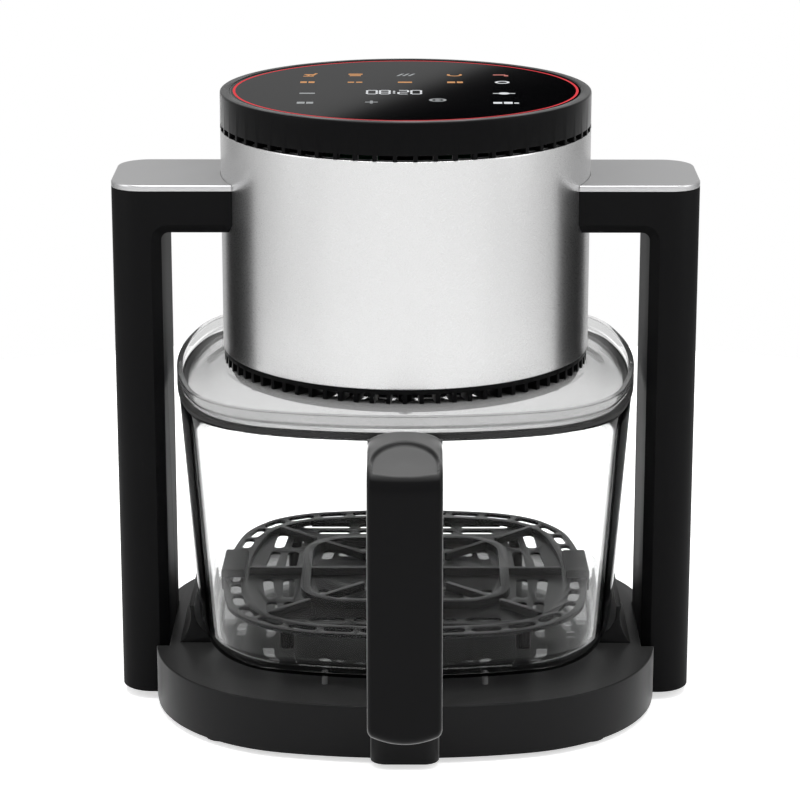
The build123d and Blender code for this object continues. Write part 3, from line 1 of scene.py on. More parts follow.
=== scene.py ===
import bmesh
import bpy
import json
from math import atan2, cos, hypot, pi, radians, sin, sqrt, tan
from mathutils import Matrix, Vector


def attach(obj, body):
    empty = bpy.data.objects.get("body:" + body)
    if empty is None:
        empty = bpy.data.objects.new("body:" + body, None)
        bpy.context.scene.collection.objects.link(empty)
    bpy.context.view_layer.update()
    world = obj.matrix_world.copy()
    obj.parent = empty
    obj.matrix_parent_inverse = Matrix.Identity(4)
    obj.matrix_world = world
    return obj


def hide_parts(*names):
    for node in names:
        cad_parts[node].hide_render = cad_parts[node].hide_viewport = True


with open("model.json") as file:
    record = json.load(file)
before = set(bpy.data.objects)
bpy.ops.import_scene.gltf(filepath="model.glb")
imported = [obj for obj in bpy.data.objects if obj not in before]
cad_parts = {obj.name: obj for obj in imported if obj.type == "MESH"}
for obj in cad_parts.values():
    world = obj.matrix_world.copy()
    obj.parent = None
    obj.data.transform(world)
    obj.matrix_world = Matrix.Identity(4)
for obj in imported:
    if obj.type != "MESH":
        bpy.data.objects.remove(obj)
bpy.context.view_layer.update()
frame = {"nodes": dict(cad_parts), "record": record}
nodes = frame["nodes"]
scene = bpy.context.scene
scene.view_settings.view_transform = "Standard"
MM = 0.001

# Sizes in millimetres about the head's upright axis, with the floor at Z = 0, as in the CAD model
AXIS_Y = 20.2
HEAD_R = 97.0
SLEEVE_LOW, SLEEVE_HIGH = 189.3, 306.1
PANEL_R, PANEL_LOW, PANEL_TOP = 92.0, 322.45, 325.45
COVER_LOW, COVER_TOP, COVER_FLOOR = 172.2, 182.2, 174.0
SEAT, SEAT_UNDER, OPENING_R, FLAT_R = 181.8, 178.8, 84.0, 113.6
BOWL_LOW, BOWL_TOP, BOWL_FLOOR = 35.3, 170.1, 39.8
BOWL_INSET, TAPER, BOWL_WALL = 0.8, 0.07133, 3.8
HALF_X, HALF_Y, SIDE_R, CORNER_R = 121.6, 119.9, 258.0, 61.4


def at(x, y, z):
    """A point about the head's axis, in millimetres, as metres in the row frame."""
    return Vector((x * MM, (y + AXIS_Y) * MM, z * MM))


# Node helpers
def sum_node(tree, operation, a, b=None, clamp=False):
    """A step of arithmetic on numbers or on nodes' outputs."""
    made = tree.nodes.new("ShaderNodeMath")
    made.operation = operation
    made.use_clamp = clamp
    for socket, value in zip(made.inputs, (a, b)):
        if value is None:
            continue
        if isinstance(value, (int, float)):
            socket.default_value = value
        else:
            tree.links.new(value, socket)
    return made.outputs[0]


def ramp(tree, value, stops):
    """Greys by value: (place, grey) stops."""
    made = tree.nodes.new("ShaderNodeValToRGB")
    made.color_ramp.interpolation = "EASE"
    first, last = made.color_ramp.elements
    first.position, last.position = stops[0][0], stops[-1][0]
    first.color, last.color = [(grey, grey, grey, 1) for grey in (stops[0][1], stops[-1][1])]
    for position, grey in stops[1:-1]:
        made.color_ramp.elements.new(position).color = (grey, grey, grey, 1)
    tree.links.new(value, made.inputs["Fac"])
    return made.outputs["Color"]


def blend(tree, factor, first, second):
    """A colour between two, each of them a grey, a colour or a node's output."""
    made = tree.nodes.new("ShaderNodeMix")
    made.data_type = "RGBA"
    tree.links.new(factor, made.inputs[0])
    for socket, value in ((made.inputs[6], first), (made.inputs[7], second)):
        if isinstance(value, (int, float)):
            socket.default_value = (value, value, value, 1)
        elif isinstance(value, tuple):
            socket.default_value = (*value, 1)
        else:
            tree.links.new(value, socket)
    return made.outputs[2]


def scaled(tree, value, low, high, first, last):
    """A value carried from one span to another."""
    made = tree.nodes.new("ShaderNodeMapRange")
    for socket, number in (("From Min", low), ("From Max", high), ("To Min", first), ("To Max", last)):
        made.inputs[socket].default_value = number
    tree.links.new(value, made.inputs["Value"])
    return made.outputs["Result"]


def upward(tree, output):
    """How much a surface faces up or down, from 1 to -1."""
    facing = tree.nodes.new("ShaderNodeNewGeometry")
    split = tree.nodes.new("ShaderNodeSeparateXYZ")
    tree.links.new(facing.outputs[output], split.inputs["Vector"])
    return split.outputs["Z"]


# Materials
def plain(name, color, roughness, metallic=0.0, **sockets):
    """A principled material with its own sockets set."""
    made = bpy.data.materials.new(name)
    made.use_nodes = True
    shader = made.node_tree.nodes["Principled BSDF"]
    shader.inputs["Base Color"].default_value = (*color, 1.0)
    shader.inputs["Roughness"].default_value = roughness
    shader.inputs["Metallic"].default_value = metallic
    for socket, value in sockets.items():
        shader.inputs[socket.replace("_", " ")].default_value = value
    return made


def grain(material, scale, bump, spread=0.0, stretch=(1.0, 1.0, 1.0), detail=4.0, tint=0.0):
    """Fine surface texture: bump, uneven roughness and a slight change of tone."""
    tree = material.node_tree
    shader = tree.nodes["Principled BSDF"]
    place = tree.nodes.new("ShaderNodeTexCoord")
    mapping = tree.nodes.new("ShaderNodeMapping")
    mapping.inputs["Scale"].default_value = stretch
    noise = tree.nodes.new("ShaderNodeTexNoise")
    noise.inputs["Scale"].default_value = scale
    noise.inputs["Detail"].default_value = detail
    tree.links.new(place.outputs["Object"], mapping.inputs["Vector"])
    tree.links.new(mapping.outputs["Vector"], noise.inputs["Vector"])
    relief = tree.nodes.new("ShaderNodeBump")
    relief.inputs["Distance"].default_value = bump * MM
    tree.links.new(noise.outputs["Fac"], relief.inputs["Height"])
    tree.links.new(relief.outputs["Normal"], shader.inputs["Normal"])
    if spread:
        base = shader.inputs["Roughness"].default_value
        rough = tree.nodes.new("ShaderNodeMapRange")
        rough.inputs["To Min"].default_value = max(0.0, base - spread)
        rough.inputs["To Max"].default_value = base + spread
        tree.links.new(noise.outputs["Fac"], rough.inputs["Value"])
        tree.links.new(rough.outputs["Result"], shader.inputs["Roughness"])
    if tint:
        color = shader.inputs["Base Color"].default_value[:3]
        broad = tree.nodes.new("ShaderNodeTexNoise")
        broad.inputs["Scale"].default_value = 14.0
        tree.links.new(place.outputs["Object"], broad.inputs["Vector"])
        darker = tuple(part * (1 - tint) for part in color)
        paler = tuple(min(1.0, part * (1 + tint)) for part in color)
        toned = blend(tree, broad.outputs["Fac"], darker, paler)
        tree.links.new(toned, shader.inputs["Base Color"])
    return material


def glowing(name, color, strength, scale=260):
    """A lit marking whose brightness is a little uneven."""
    dull = [0.2 * part for part in color]
    lit = plain(
        name, dull, 0.4, Emission_Color=(*color, 1), Emission_Strength=strength, Specular_IOR_Level=0.1
    )
    made = grain(lit, scale, 0.001, 0.02)
    tree = made.node_tree
    shader = tree.nodes["Principled BSDF"]
    broad = tree.nodes.new("ShaderNodeTexNoise")
    broad.inputs["Scale"].default_value = 30.0
    level = tree.nodes.new("ShaderNodeMapRange")
    level.inputs["To Min"].default_value = strength * 0.85
    level.inputs["To Max"].default_value = strength * 1.15
    tree.links.new(broad.outputs["Fac"], level.inputs["Value"])
    tree.links.new(level.outputs["Result"], shader.inputs["Emission Strength"])
    return made


def tone_cover(material):
    """Grey on the floor and the rim's upper band, clear on the skirt below, and painted shade: a dark tone
    along the round edges.
    """
    tree = material.node_tree
    shader = tree.nodes["Principled BSDF"]
    place = tree.nodes.new("ShaderNodeTexCoord")
    point = tree.nodes.new("ShaderNodeSeparateXYZ")
    tree.links.new(place.outputs["Object"], point.inputs["Vector"])
    flatness = sum_node(tree, "ABSOLUTE", upward(tree, "True Normal"))
    band = scaled(tree, point.outputs["Z"], (COVER_LOW + 3.4) * MM, (COVER_LOW + 3.7) * MM, 0.0, 1.0)
    tone = blend(tree, band, 1.0, 0.72)
    tone = blend(tree, scaled(tree, flatness, 0.1, 0.75, 0.0, 1.0), tone, 0.54)
    # Painted shade: the rounded, slanted faces of the cover get a dark tone by the slant of their normals
    rising = scaled(tree, flatness, 0.15, 0.3, 0.0, 1.0)
    falling = scaled(tree, flatness, 0.6, 0.75, 1.0, 0.0)
    tone = blend(tree, sum_node(tree, "MULTIPLY", rising, falling), tone, 0.2)
    tree.links.new(tone, shader.inputs["Base Color"])
    tree.links.new(scaled(tree, flatness, 0.5, 0.8, 0.96, 0.72), shader.inputs["Transmission Weight"])


def paint_top_light(material, grey, low, high):
    """Painted light: a paler base colour where a surface faces up, standing in for light from above."""
    tree = material.node_tree
    shader = tree.nodes["Principled BSDF"]
    held = shader.inputs["Base Color"].links[0].from_socket
    facing_up = scaled(tree, upward(tree, "Normal"), low, high, 0.0, 1.0)
    tree.links.new(blend(tree, facing_up, held, grey), shader.inputs["Base Color"])


casing_black = grain(
    plain(
        "casing_black", (0.0055, 0.0055, 0.0058), 0.36,
        Specular_IOR_Level=0.15, Sheen_Weight=0.35, Sheen_Roughness=0.3,
    ),
    2600, 0.010, 0.05, tint=0.12,
)
post_black = grain(
    plain("post_black", (0.005, 0.005, 0.0053), 0.5, Specular_IOR_Level=0.06), 2600, 0.010, 0.05, tint=0.12
)
handle_black = grain(
    plain(
        "handle_black", (0.003, 0.003, 0.0033), 0.30,
        Specular_IOR_Level=0.08, Sheen_Weight=1.0, Sheen_Roughness=0.3,
    ),
    3000, 0.005, 0.05, tint=0.12,
)
cap_black = grain(
    plain(
        "cap_black", (0.003, 0.003, 0.0033), 0.36,
        Specular_IOR_Level=0.06, Sheen_Weight=0.5, Sheen_Roughness=0.25,
    ),
    2600, 0.006, 0.05, tint=0.1,
)
rack_black = grain(
    plain("rack_black", (0.004, 0.004, 0.0043), 0.34, Specular_IOR_Level=0.1), 1400, 0.012, 0.06, tint=0.15
)
satin_steel = grain(
    plain("satin_steel", (0.80, 0.80, 0.80), 0.28, 1.0), 900, 0.004, 0.04, stretch=(1, 1, 14), tint=0.03
)
silver_satin = grain(plain("silver_satin", (0.60, 0.60, 0.605), 0.36, 1.0), 2400, 0.006, 0.04, tint=0.03)
zinc_steel = grain(plain("zinc_steel", (0.5, 0.51, 0.52), 0.38, 1.0), 300, 0.004, 0.08, tint=0.12)
bright_steel = grain(plain("bright_steel", (0.6, 0.6, 0.6), 0.25, 1.0), 800, 0.002, 0.05, tint=0.05)
dark_rubber = grain(plain("dark_rubber", (0.012, 0.012, 0.012), 0.7), 2000, 0.02, 0.08, tint=0.2)
grey_rubber = grain(plain("grey_rubber", (0.16, 0.16, 0.16), 0.6), 2000, 0.01, 0.05, tint=0.1)
clear_glass = grain(
    plain(
        "clear_glass", (0.985, 0.99, 0.988), 0.0,
        Transmission_Weight=1.0, IOR=1.45, Specular_Tint=(0.12, 0.12, 0.12, 1),
    ),
    7, 0.006, detail=1.0,
)
cover_glass = grain(
    plain(
        "cover_glass", (1.0, 1.0, 1.0), 0.02,
        Transmission_Weight=0.94, IOR=1.04, Specular_Tint=(0.6, 0.6, 0.6, 1),
    ),
    7, 0.006, detail=1.0,
)


panel_glass = grain(plain("panel_glass", (0.001, 0.001, 0.0013), 0.04, IOR=1.45), 9, 0.002, 0.01, detail=1.0)
ring_red = glowing("ring_red", (1.0, 0.012, 0.03), 0.42)
board_green = grain(plain("board_green", (0.02, 0.12, 0.05), 0.4), 500, 0.01, 0.05, tint=0.3)
inner_grey = grain(plain("inner_grey", (0.09, 0.09, 0.09), 0.5), 1500, 0.01, 0.05, tint=0.1)
spring_brass = grain(plain("spring_brass", (0.6, 0.42, 0.18), 0.3, 1.0), 900, 0.002, 0.05, tint=0.05)
wool_white = grain(plain("wool_white", (0.66, 0.63, 0.55), 0.95), 700, 0.2, 0.03, tint=0.15)
heat_steel = grain(plain("heat_steel", (0.34, 0.31, 0.29), 0.42, 1.0), 500, 0.006, 0.1, tint=0.25)

tone_cover(cover_glass)
# Painted top light: the handle's and the casing's up-facing faces get a paler base colour in place of light
# falling from above
paint_top_light(handle_black, 0.085, 0.5, 0.98)
paint_top_light(casing_black, 0.012, 0.8, 0.98)

looks = {
    "black_plastic": casing_black,
    "black_coated_steel": rack_black,
    "steel_wrap": satin_steel,
    "silver_plate": silver_satin,
    "zinc_steel": zinc_steel,
    "screw_steel": bright_steel,
    "rubber_black": dark_rubber,
    "silicone": dark_rubber,
    "clear_glass": clear_glass,
    "panel_glass": panel_glass,
    "light_guide": ring_red,
    "circuit_board": board_green,
    "display_window": panel_glass,
    "brass_springs": spring_brass,
    "inner_plastic": inner_grey,
    "insulation": wool_white,
    "motor_steel": zinc_steel,
    "heater_steel": heat_steel,
    "fan_alloy": bright_steel,
}
node_slot = {item["node"]: item["material_slot"] for item in frame["record"]["subparts"]}
node_body = {
    node: body
    for body, members in frame["record"]["behaviour"]["bodies"].items()
    for node in members
}


def paint(piece, material):
    piece.data.materials.clear()
    piece.data.materials.append(material)


def smooth(piece, angle):
    """Smooth shading that breaks at edges sharper than an angle."""
    mesh = piece.data
    mesh.shade_smooth()
    mesh.set_sharp_from_angle(angle=radians(angle))


for name, node in nodes.items():
    paint(node, looks[node_slot[name]])
    smooth(node, 32)
paint(nodes["bowl_rests"], grey_rubber)


# Finished pieces
def piece_for(name, node, mesh, material):
    """A finished piece that stands for a CAD node, on the node's body."""
    piece = bpy.data.objects.new(name, mesh)
    scene.collection.objects.link(piece)
    paint(piece, material)
    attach(piece, node_body[node])
    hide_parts(node)
    return piece


def apply_modifiers(piece):
    bpy.context.view_layer.update()
    graph = bpy.context.evaluated_depsgraph_get()
    mesh = bpy.data.meshes.new_from_object(piece.evaluated_get(graph))
    piece.modifiers.clear()
    piece.data = mesh


def eased(node, material, width, segments=3, angle=38):
    """A copy of a CAD node with its sharp edges rounded."""
    mesh = nodes[node].data.copy()
    work = bmesh.new()
    work.from_mesh(mesh)
    bmesh.ops.remove_doubles(work, verts=work.verts, dist=2e-6)
    bmesh.ops.dissolve_limit(work, angle_limit=radians(0.4), verts=work.verts, edges=work.edges)
    work.to_mesh(mesh)
    work.free()
    piece = piece_for(f"{node}_finished", node, mesh, material)
    bevel = piece.modifiers.new("edges", "BEVEL")
    bevel.limit_method = "ANGLE"
    bevel.angle_limit = radians(angle)
    bevel.width = width * MM
    bevel.segments = segments
    apply_modifiers(piece)
    smooth(piece, 42)
    return piece


def skin(name, rings, closed=False, caps=False):
    """A mesh over rings of points; closed joins the last ring to the first, caps fill both ends."""
    count = len(rings[0])
    faces = []
    for ring in range(len(rings) - (0 if closed else 1)):
        after = (ring + 1) % len(rings)
        for step in range(count):
            turn = (step + 1) % count
            near, far = ring * count, after * count
            faces.append((near + step, near + turn, far + turn, far + step))
    if caps:
        faces.append(tuple(reversed(range(count))))
        faces.append(tuple(range((len(rings) - 1) * count, len(rings) * count)))
    mesh = bpy.data.meshes.new(name)
    mesh.from_pydata([point for ring in rings for point in ring], [], faces)
    work = bmesh.new()
    work.from_mesh(mesh)
    bmesh.ops.remove_doubles(work, verts=work.verts, dist=1e-7)
    bmesh.ops.recalc_face_normals(work, faces=work.faces)
    work.to_mesh(mesh)
    work.free()
    return mesh


def arc(centre, radius, start, end, steps):
    """Points of an arc between two angles in degrees."""
    made = []
    for step in range(steps + 1):
        angle = radians(start + (end - start) * step / steps)
        made.append((centre[0] + radius * cos(angle), centre[1] + radius * sin(angle)))
    return made


def turned(name, profile, count=256):
    """A closed lathe of (radius, height) points about the head's axis."""
    rings = []
    for radius, height in profile:
        ring = []
        for step in range(count):
            angle = 2 * pi * step / count
            ring.append(at(radius * cos(angle), radius * sin(angle), height))
        rings.append(ring)
    return skin(name, rings, closed=True)


def corner_centre():
    """Centre of the outline's corner arcs in the first quadrant."""
    drop_x, drop_y = SIDE_R - HALF_X, SIDE_R - HALF_Y
    span = hypot(drop_x, drop_y)
    push = sqrt((SIDE_R - CORNER_R) ** 2 - span**2 / 4)
    return drop_y / span * push - drop_x / 2, drop_x / span * push - drop_y / 2


CORNER = corner_centre()


def along(direction, centre, radius):
    """Where a ray from the axis leaves a circle."""
    ahead = direction[0] * centre[0] + direction[1] * centre[1]
    return ahead + sqrt(ahead**2 - centre[0] ** 2 - centre[1] ** 2 + radius**2)


def reach(angle, inset):
    """Distance from the axis to the soft square moved in by inset."""
    ray = abs(cos(angle)), abs(sin(angle))
    side, end = (HALF_X - SIDE_R, 0.0), (0.0, HALF_Y - SIDE_R)
    far = along(ray, side, SIDE_R - inset)
    lean = atan2(CORNER[1], CORNER[0] - side[0])
    if far * ray[1] <= (SIDE_R - inset) * sin(lean):
        return far
    far = along(ray, end, SIDE_R - inset)
    lean = atan2(CORNER[1] - end[1], CORNER[0])
    if far * ray[0] <= (SIDE_R - inset) * cos(lean):
        return far
    return along(ray, CORNER, CORNER_R - inset)


ROUND = 288


def square_ring(inset, height, share=1.0):
    """A ring of the soft square moved in by inset, shrunk about the axis to a share of its size."""
    ring = []
    for step in range(ROUND):
        angle = 2 * pi * step / ROUND
        far = reach(angle, inset) * share
        ring.append(at(far * cos(angle), far * sin(angle), height))
    return ring


def circle_ring(radius, height):
    ring = []
    for step in range(ROUND):
        angle = 2 * pi * step / ROUND
        ring.append(at(radius * cos(angle), radius * sin(angle), height))
    return ring


def soft(value):
    """Smooth step from 0 to 1."""
    value = max(0.0, min(1.0, value))
    return value * value * (3 - 2 * value)


# Steel sleeve with rolled hems
inner_r = HEAD_R - 1.0
profile = [(inner_r, SLEEVE_LOW + 0.8)] + arc((HEAD_R - 0.5, SLEEVE_LOW + 0.5), 0.5, 180, 360, 8)
profile += [(HEAD_R, SLEEVE_LOW + 0.8), (HEAD_R, SLEEVE_HIGH - 0.8)]
profile += arc((HEAD_R - 0.5, SLEEVE_HIGH - 0.5), 0.5, 0, 180, 8) + [(inner_r, SLEEVE_HIGH - 0.8)]
sleeve = piece_for("head_sleeve_turned", "head_sleeve", turned("head_sleeve_turned", profile), satin_steel)
smooth(sleeve, 60)

# Glass panel with a ground edge
profile = [(0.001, PANEL_LOW), (PANEL_R - 0.3, PANEL_LOW), (PANEL_R, PANEL_LOW + 0.3)]
profile += arc((PANEL_R - 0.5, PANEL_TOP - 0.5), 0.5, 0, 90, 8)
profile += [(PANEL_R - 0.7, PANEL_TOP), (0.001, PANEL_TOP)]
panel_mesh = turned("control_glass_turned", profile)
panel = piece_for("control_glass_turned", "control_glass", panel_mesh, panel_glass)
smooth(panel, 40)

# Ring of light just inside the panel's edge
profile = [(88.85, 325.3), (90.15, 325.3), (90.15, 325.47), (88.85, 325.47)]
piece_for("light_ring_lit", "light_ring", turned("light_ring_lit", profile), ring_red)


# Signs on the panel: plain generic figures
def flat_sign(name, outlines, material):
    """Thin flat shapes just above the panel. Each outline is a list of (x, y) points."""
    points, faces = [], []
    low, high = PANEL_TOP - 0.05, PANEL_TOP + 0.03
    for outline in outlines:
        first, count = len(points), len(outline)
        points += [at(x, y, low) for x, y in outline]
        points += [at(x, y, high) for x, y in outline]
        faces.append(tuple(first + step for step in reversed(range(count))))
        faces.append(tuple(first + count + step for step in range(count)))
        for step in range(count):
            turn = (step + 1) % count
            faces.append((first + step, first + turn, first + count + turn, first + count + step))
    mesh = bpy.data.meshes.new(name)
    mesh.from_pydata(points, [], faces)
    work = bmesh.new()
    work.from_mesh(mesh)
    bmesh.ops.recalc_face_normals(work, faces=work.faces)
    work.to_mesh(mesh)
    work.free()
    sign = bpy.data.objects.new(name, mesh)
    scene.collection.objects.link(sign)
    paint(sign, material)
    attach(sign, "stand")


def bar(x, y, width, height, lean=0.0):
    return [
        (x + across * width / 2 + lean * up * height / 2, y + up * height / 2)
        for across, up in ((-1, -1), (1, -1), (1, 1), (-1, 1))
    ]


def disc(x, y, radius, sides=20, turn=0.0):
    return [
        (x + radius * cos(turn + 2 * pi * step / sides), y + radius * sin(turn + 2 * pi * step / sides))
        for step in range(sides)
    ]


def hoop(x, y, radius, width, sides=20, gap=0):
    """A ring of short blocks."""
    blocks = []
    for step in range(gap, sides - gap):
        low, high = 2 * pi * step / sides + pi / 2, 2 * pi * (step + 1) / sides + pi / 2
        corners = ((radius, low), (radius, high), (radius - width, high), (radius - width, low))
        blocks.append([(x + far * cos(angle), y + far * sin(angle)) for far, angle in corners])
    return blocks


SEGMENTS = {"top": (0, 1), "middle": (0, 0), "bottom": (0, -1)}
UPRIGHTS = {
    "upper_left": (-1, 0.5),
    "upper_right": (1, 0.5),
    "lower_left": (-1, -0.5),
    "lower_right": (1, -0.5),
}
DIGITS = {
    "0": ("top", "bottom", "upper_left", "upper_right", "lower_left", "lower_right"),
    "1": ("upper_right", "lower_right"),
    "2": ("top", "middle", "bottom", "upper_right", "lower_left"),
    "8": ("top", "middle", "bottom", "upper_left", "upper_right", "lower_left", "lower_right"),
}


def digit(figure, x, y, width=5.0, height=11.0, stroke=1.1):
    made = []
    for part in DIGITS[figure]:
        if part in SEGMENTS:
            across, up = SEGMENTS[part]
            made.append(bar(x, y + up * height / 2, width - 0.5 * stroke, stroke))
        else:
            across, up = UPRIGHTS[part]
            made.append(bar(x + across * width / 2, y + up * height / 2, stroke, height / 2 - stroke))
    return made


amber = glowing("sign_amber", (1.0, 0.46, 0.16), 0.34)
white = glowing("sign_white", (0.9, 0.92, 0.95), 0.55)
faint = glowing("sign_faint", (0.75, 0.78, 0.8), 0.16)
rosy = glowing("sign_rosy", (1.0, 0.30, 0.25), 0.26)
leaf = [disc(-52, 44, 3.2, 3, 0.5), bar(-52, 39.5, 5.5, 1.6), bar(-49, 45, 1.5, 7, 0.3)]
flat_sign("sign_leaf", leaf, amber)
flat_sign("sign_leaf_foot", [bar(-54, 21, 3.4, 4.5), bar(-49.8, 21, 3.2, 4.5)], amber)
flat_sign("sign_loaf", [bar(-27, 46, 7.5, 3.0), bar(-27, 41.5, 6.0, 2.4)], amber)
flat_sign("sign_loaf_foot", [bar(-29, 21, 3.4, 3.0), bar(-24.6, 21, 3.4, 3.0)], amber)
flat_sign("sign_steam", [bar(-3, 44, 1.4, 7, 0.4), bar(0, 44, 1.4, 7, 0.4), bar(3, 44, 1.4, 7, 0.4)], faint)
flat_sign("sign_steam_foot", [bar(-0.4, 21, 7.5, 3.4)], amber)
flat_sign("sign_fan", hoop(26, 44, 4.2, 1.5, 12, 2), amber)
flat_sign("sign_fan_foot", [bar(24, 21, 4.2, 4.4), bar(28.6, 21, 3.2, 4.4)], amber)
flat_sign("sign_flame", [bar(50, 44, 6.5, 2.4), bar(53.6, 41.5, 2.2, 3.4)], rosy)
flat_sign("sign_flame_foot", hoop(51, 21, 4.0, 1.4, 12), white)
flat_sign("sign_start", [disc(51, -12.5, 3.0), bar(51, -12.5, 11.5, 1.3)], white)
start_foot = [bar(47, -40, 4.5, 4.6), bar(52.4, -40, 4.4, 5.4), bar(56.6, -40.5, 2.4, 2.6)]
flat_sign("sign_start_foot", start_foot, white)
flat_sign("sign_left", [bar(-51, -12.5, 8.0, 3.0)], faint)
flat_sign("sign_left_foot", [bar(-53.4, -40, 4.0, 5.2), bar(-48.8, -40, 3.6, 5.2)], faint)
flat_sign("sign_plus", [bar(-17.4, -38, 6.5, 1.6), bar(-17.4, -38, 1.5, 7.5)], faint)
flat_sign("sign_fan_speed", hoop(16.5, -32, 4.6, 1.5, 12) + [disc(16.5, -32, 1.6)], faint)
figures = []
for place_x, figure in ((-17.5, "0"), (-10.8, "8"), (-1.2, "2"), (5.5, "0")):
    figures += digit(figure, place_x, -9)
figures += [bar(-6.0, -6.6, 1.2, 2.2), bar(-6.0, -11.4, 1.2, 2.2)]
flat_sign("sign_time", figures, white)

# Glass cover: soft square tray whose floor swells up to the seat of the vent ring
rings = [square_ring(0.35 * (1 - step / 4), COVER_LOW + 0.35 * step / 4) for step in range(5)]
rings += [square_ring(0, COVER_LOW + 0.6), square_ring(0, COVER_TOP - 1.3)]
for inset, height in arc((1.0, COVER_TOP - 1.0), 1.0, 180, 90, 6):
    rings.append(square_ring(inset, height))
for inset, height in arc((1.9, COVER_TOP - 1.0), 1.0, 90, 0, 6):
    rings.append(square_ring(inset, height))
rings += [square_ring(2.9, COVER_TOP - 1.3), square_ring(2.9, COVER_FLOOR + 3.4)]
for inset, height in arc((6.0, COVER_FLOOR + 3.1), 3.1, 180, 270, 10):
    rings.append(square_ring(inset, height))
swell = 18
for step in range(swell + 1):
    share = step / swell
    far = FLAT_R - 0.05 - (FLAT_R - HEAD_R) * share
    rings.append(circle_ring(far, COVER_FLOOR + (SEAT - COVER_FLOOR) * soft(share)))
rings.append(circle_ring(OPENING_R + 0.6, SEAT))
mouth = arc((OPENING_R + 0.6, SEAT - 0.6), 0.6, 105, 255, 8)
rings += [circle_ring(far, height) for far, height in mouth][1:]
rings.append(circle_ring(OPENING_R + 0.6, SEAT_UNDER))
for step in range(swell + 1):
    share = step / swell
    far = HEAD_R + (FLAT_R - 1.0 - HEAD_R) * share
    rings.append(circle_ring(far, SEAT_UNDER - (SEAT_UNDER - COVER_LOW) * soft(share)))
cover_mesh = skin("glass_cover_blown", rings, closed=True)
cover = piece_for("glass_cover_blown", "glass_cover", cover_mesh, cover_glass)
smooth(cover, 40)


# Glass bowl: tapered soft square with a rounded foot and a rounded rim
def wall_inset(height):
    return BOWL_INSET + (BOWL_TOP - height) * TAPER


lean = 4.08
rings = [square_ring(70, BOWL_LOW, share) for share in (0.0005, 0.25, 0.5, 0.75, 1.0)]
foot = 13.0
foot_z = BOWL_LOW + foot
foot_inset = wall_inset(foot_z) + foot / cos(radians(lean))
foot_arc = arc((foot_inset, foot_z), foot, 270, 180 + lean, 14)
rings += [square_ring(inset, height) for inset, height in foot_arc]
for step in range(1, 24):
    height = foot_z - foot * sin(radians(lean)) + (BOWL_TOP - 1.4 - foot_z) * step / 24
    rings.append(square_ring(wall_inset(height), height))
rim = BOWL_INSET + 0.1
rings += [square_ring(inset, height) for inset, height in arc((rim + 1.4, BOWL_TOP - 1.4), 1.4, 176, 90, 7)]
rim_in = rim + BOWL_WALL - 0.05
rings += [square_ring(inset, height) for inset, height in arc((rim_in - 1.4, BOWL_TOP - 1.4), 1.4, 90, 4, 7)]
hollow = 9.0
hollow_z = BOWL_FLOOR + hollow
hollow_inset = wall_inset(hollow_z) + BOWL_WALL + hollow / cos(radians(lean))
for step in range(1, 24):
    height = BOWL_TOP - 2.0 - (BOWL_TOP - 2.0 - hollow_z) * step / 24
    rings.append(square_ring(wall_inset(height) + BOWL_WALL, height))
hollow_arc = arc((hollow_inset, hollow_z), hollow, 180 + lean, 270, 14)
rings += [square_ring(inset, height) for inset, height in hollow_arc]
rings += [square_ring(70, BOWL_FLOOR, share) for share in (1.0, 0.75, 0.5, 0.25, 0.0005)]
bowl = piece_for("glass_bowl_blown", "glass_bowl", skin("glass_bowl_blown", rings, caps=True), clear_glass)
smooth(bowl, 40)

# Handle: a broad seven-shaped grip with round edges, a crowned front and a thumb dish on top
HANDLE_HALF, EDGE, DISH_HALF, DISH_DEPTH = 18.7, 2.6, 17.3, 2.0
REAR, FRONT, GRIP_REAR, HIGH, TIP, ROOT = -120.4, -165.0, -147.0, 176.1, 22.6, 136.1
SLOPE = 13.2
FALL = tan(radians(SLOPE))


def top_line(y):
    """Height of the sloping top before the dish is taken out."""
    return HIGH - FALL * (REAR - y)


def bowl_wall(height):
    return -(HALF_Y - wall_inset(height)) - 0.15


def stretch(start, end, count):
    """Points between two points, both left out."""
    return [
        tuple(a + (b - a) * step / (count + 1) for a, b in zip(start, end)) for step in range(1, count + 1)
    ]


rear_round, elbow, toe, crook = 3.0, 15.0, 6.0, 9.0
sink = 1 / cos(radians(SLOPE))
rear_centre = (REAR - rear_round, top_line(REAR - rear_round) - rear_round * sink)
rear_arc = arc(rear_centre, rear_round, 0, 90 + SLOPE, 12)
elbow_centre = (FRONT + elbow, top_line(FRONT + elbow) - elbow * sink)
elbow_arc = arc(elbow_centre, elbow, 90 + SLOPE, 180, 40)
front_toe = arc((FRONT + toe, TIP + toe), toe, 180, 270, 12)
rear_toe = arc((GRIP_REAR - toe, TIP + toe), toe, 270, 360, 12)
crook_arc = arc((GRIP_REAR + crook, ROOT - crook), crook, 180, 90, 12)
low_wall, high_wall = (bowl_wall(ROOT), ROOT), (bowl_wall(BOWL_TOP - 0.6), BOWL_TOP - 0.6)
side_line = rear_arc + stretch(rear_arc[-1], elbow_arc[0], 44) + elbow_arc
side_line += stretch(elbow_arc[-1], front_toe[0], 40) + front_toe
side_line += stretch(front_toe[-1], rear_toe[0], 3) + rear_toe
side_line += stretch(rear_toe[-1], crook_arc[0], 36) + crook_arc
side_line += stretch(crook_arc[-1], low_wall, 6) + [low_wall]
side_line += stretch(low_wall, high_wall, 8) + [high_wall, (REAR, BOWL_TOP - 0.6)]
side_line += stretch((REAR, BOWL_TOP - 0.6), rear_arc[0], 1)
at_wall = {low_wall, high_wall, (REAR, BOWL_TOP - 0.6)}


def dish_depth(x, y):
    """How deep the thumb dish is at a place, with a steep rear wall and a shallow spoon floor."""
    middle = -153.0
    if y > middle:
        inward = (1 - hypot(x / DISH_HALF, (y - middle) / 21.0)) * DISH_HALF
    else:
        inward = DISH_HALF - abs(x)
    return DISH_DEPTH * soft(inward / 1.8) + 0.8 * soft(inward / 14.0)


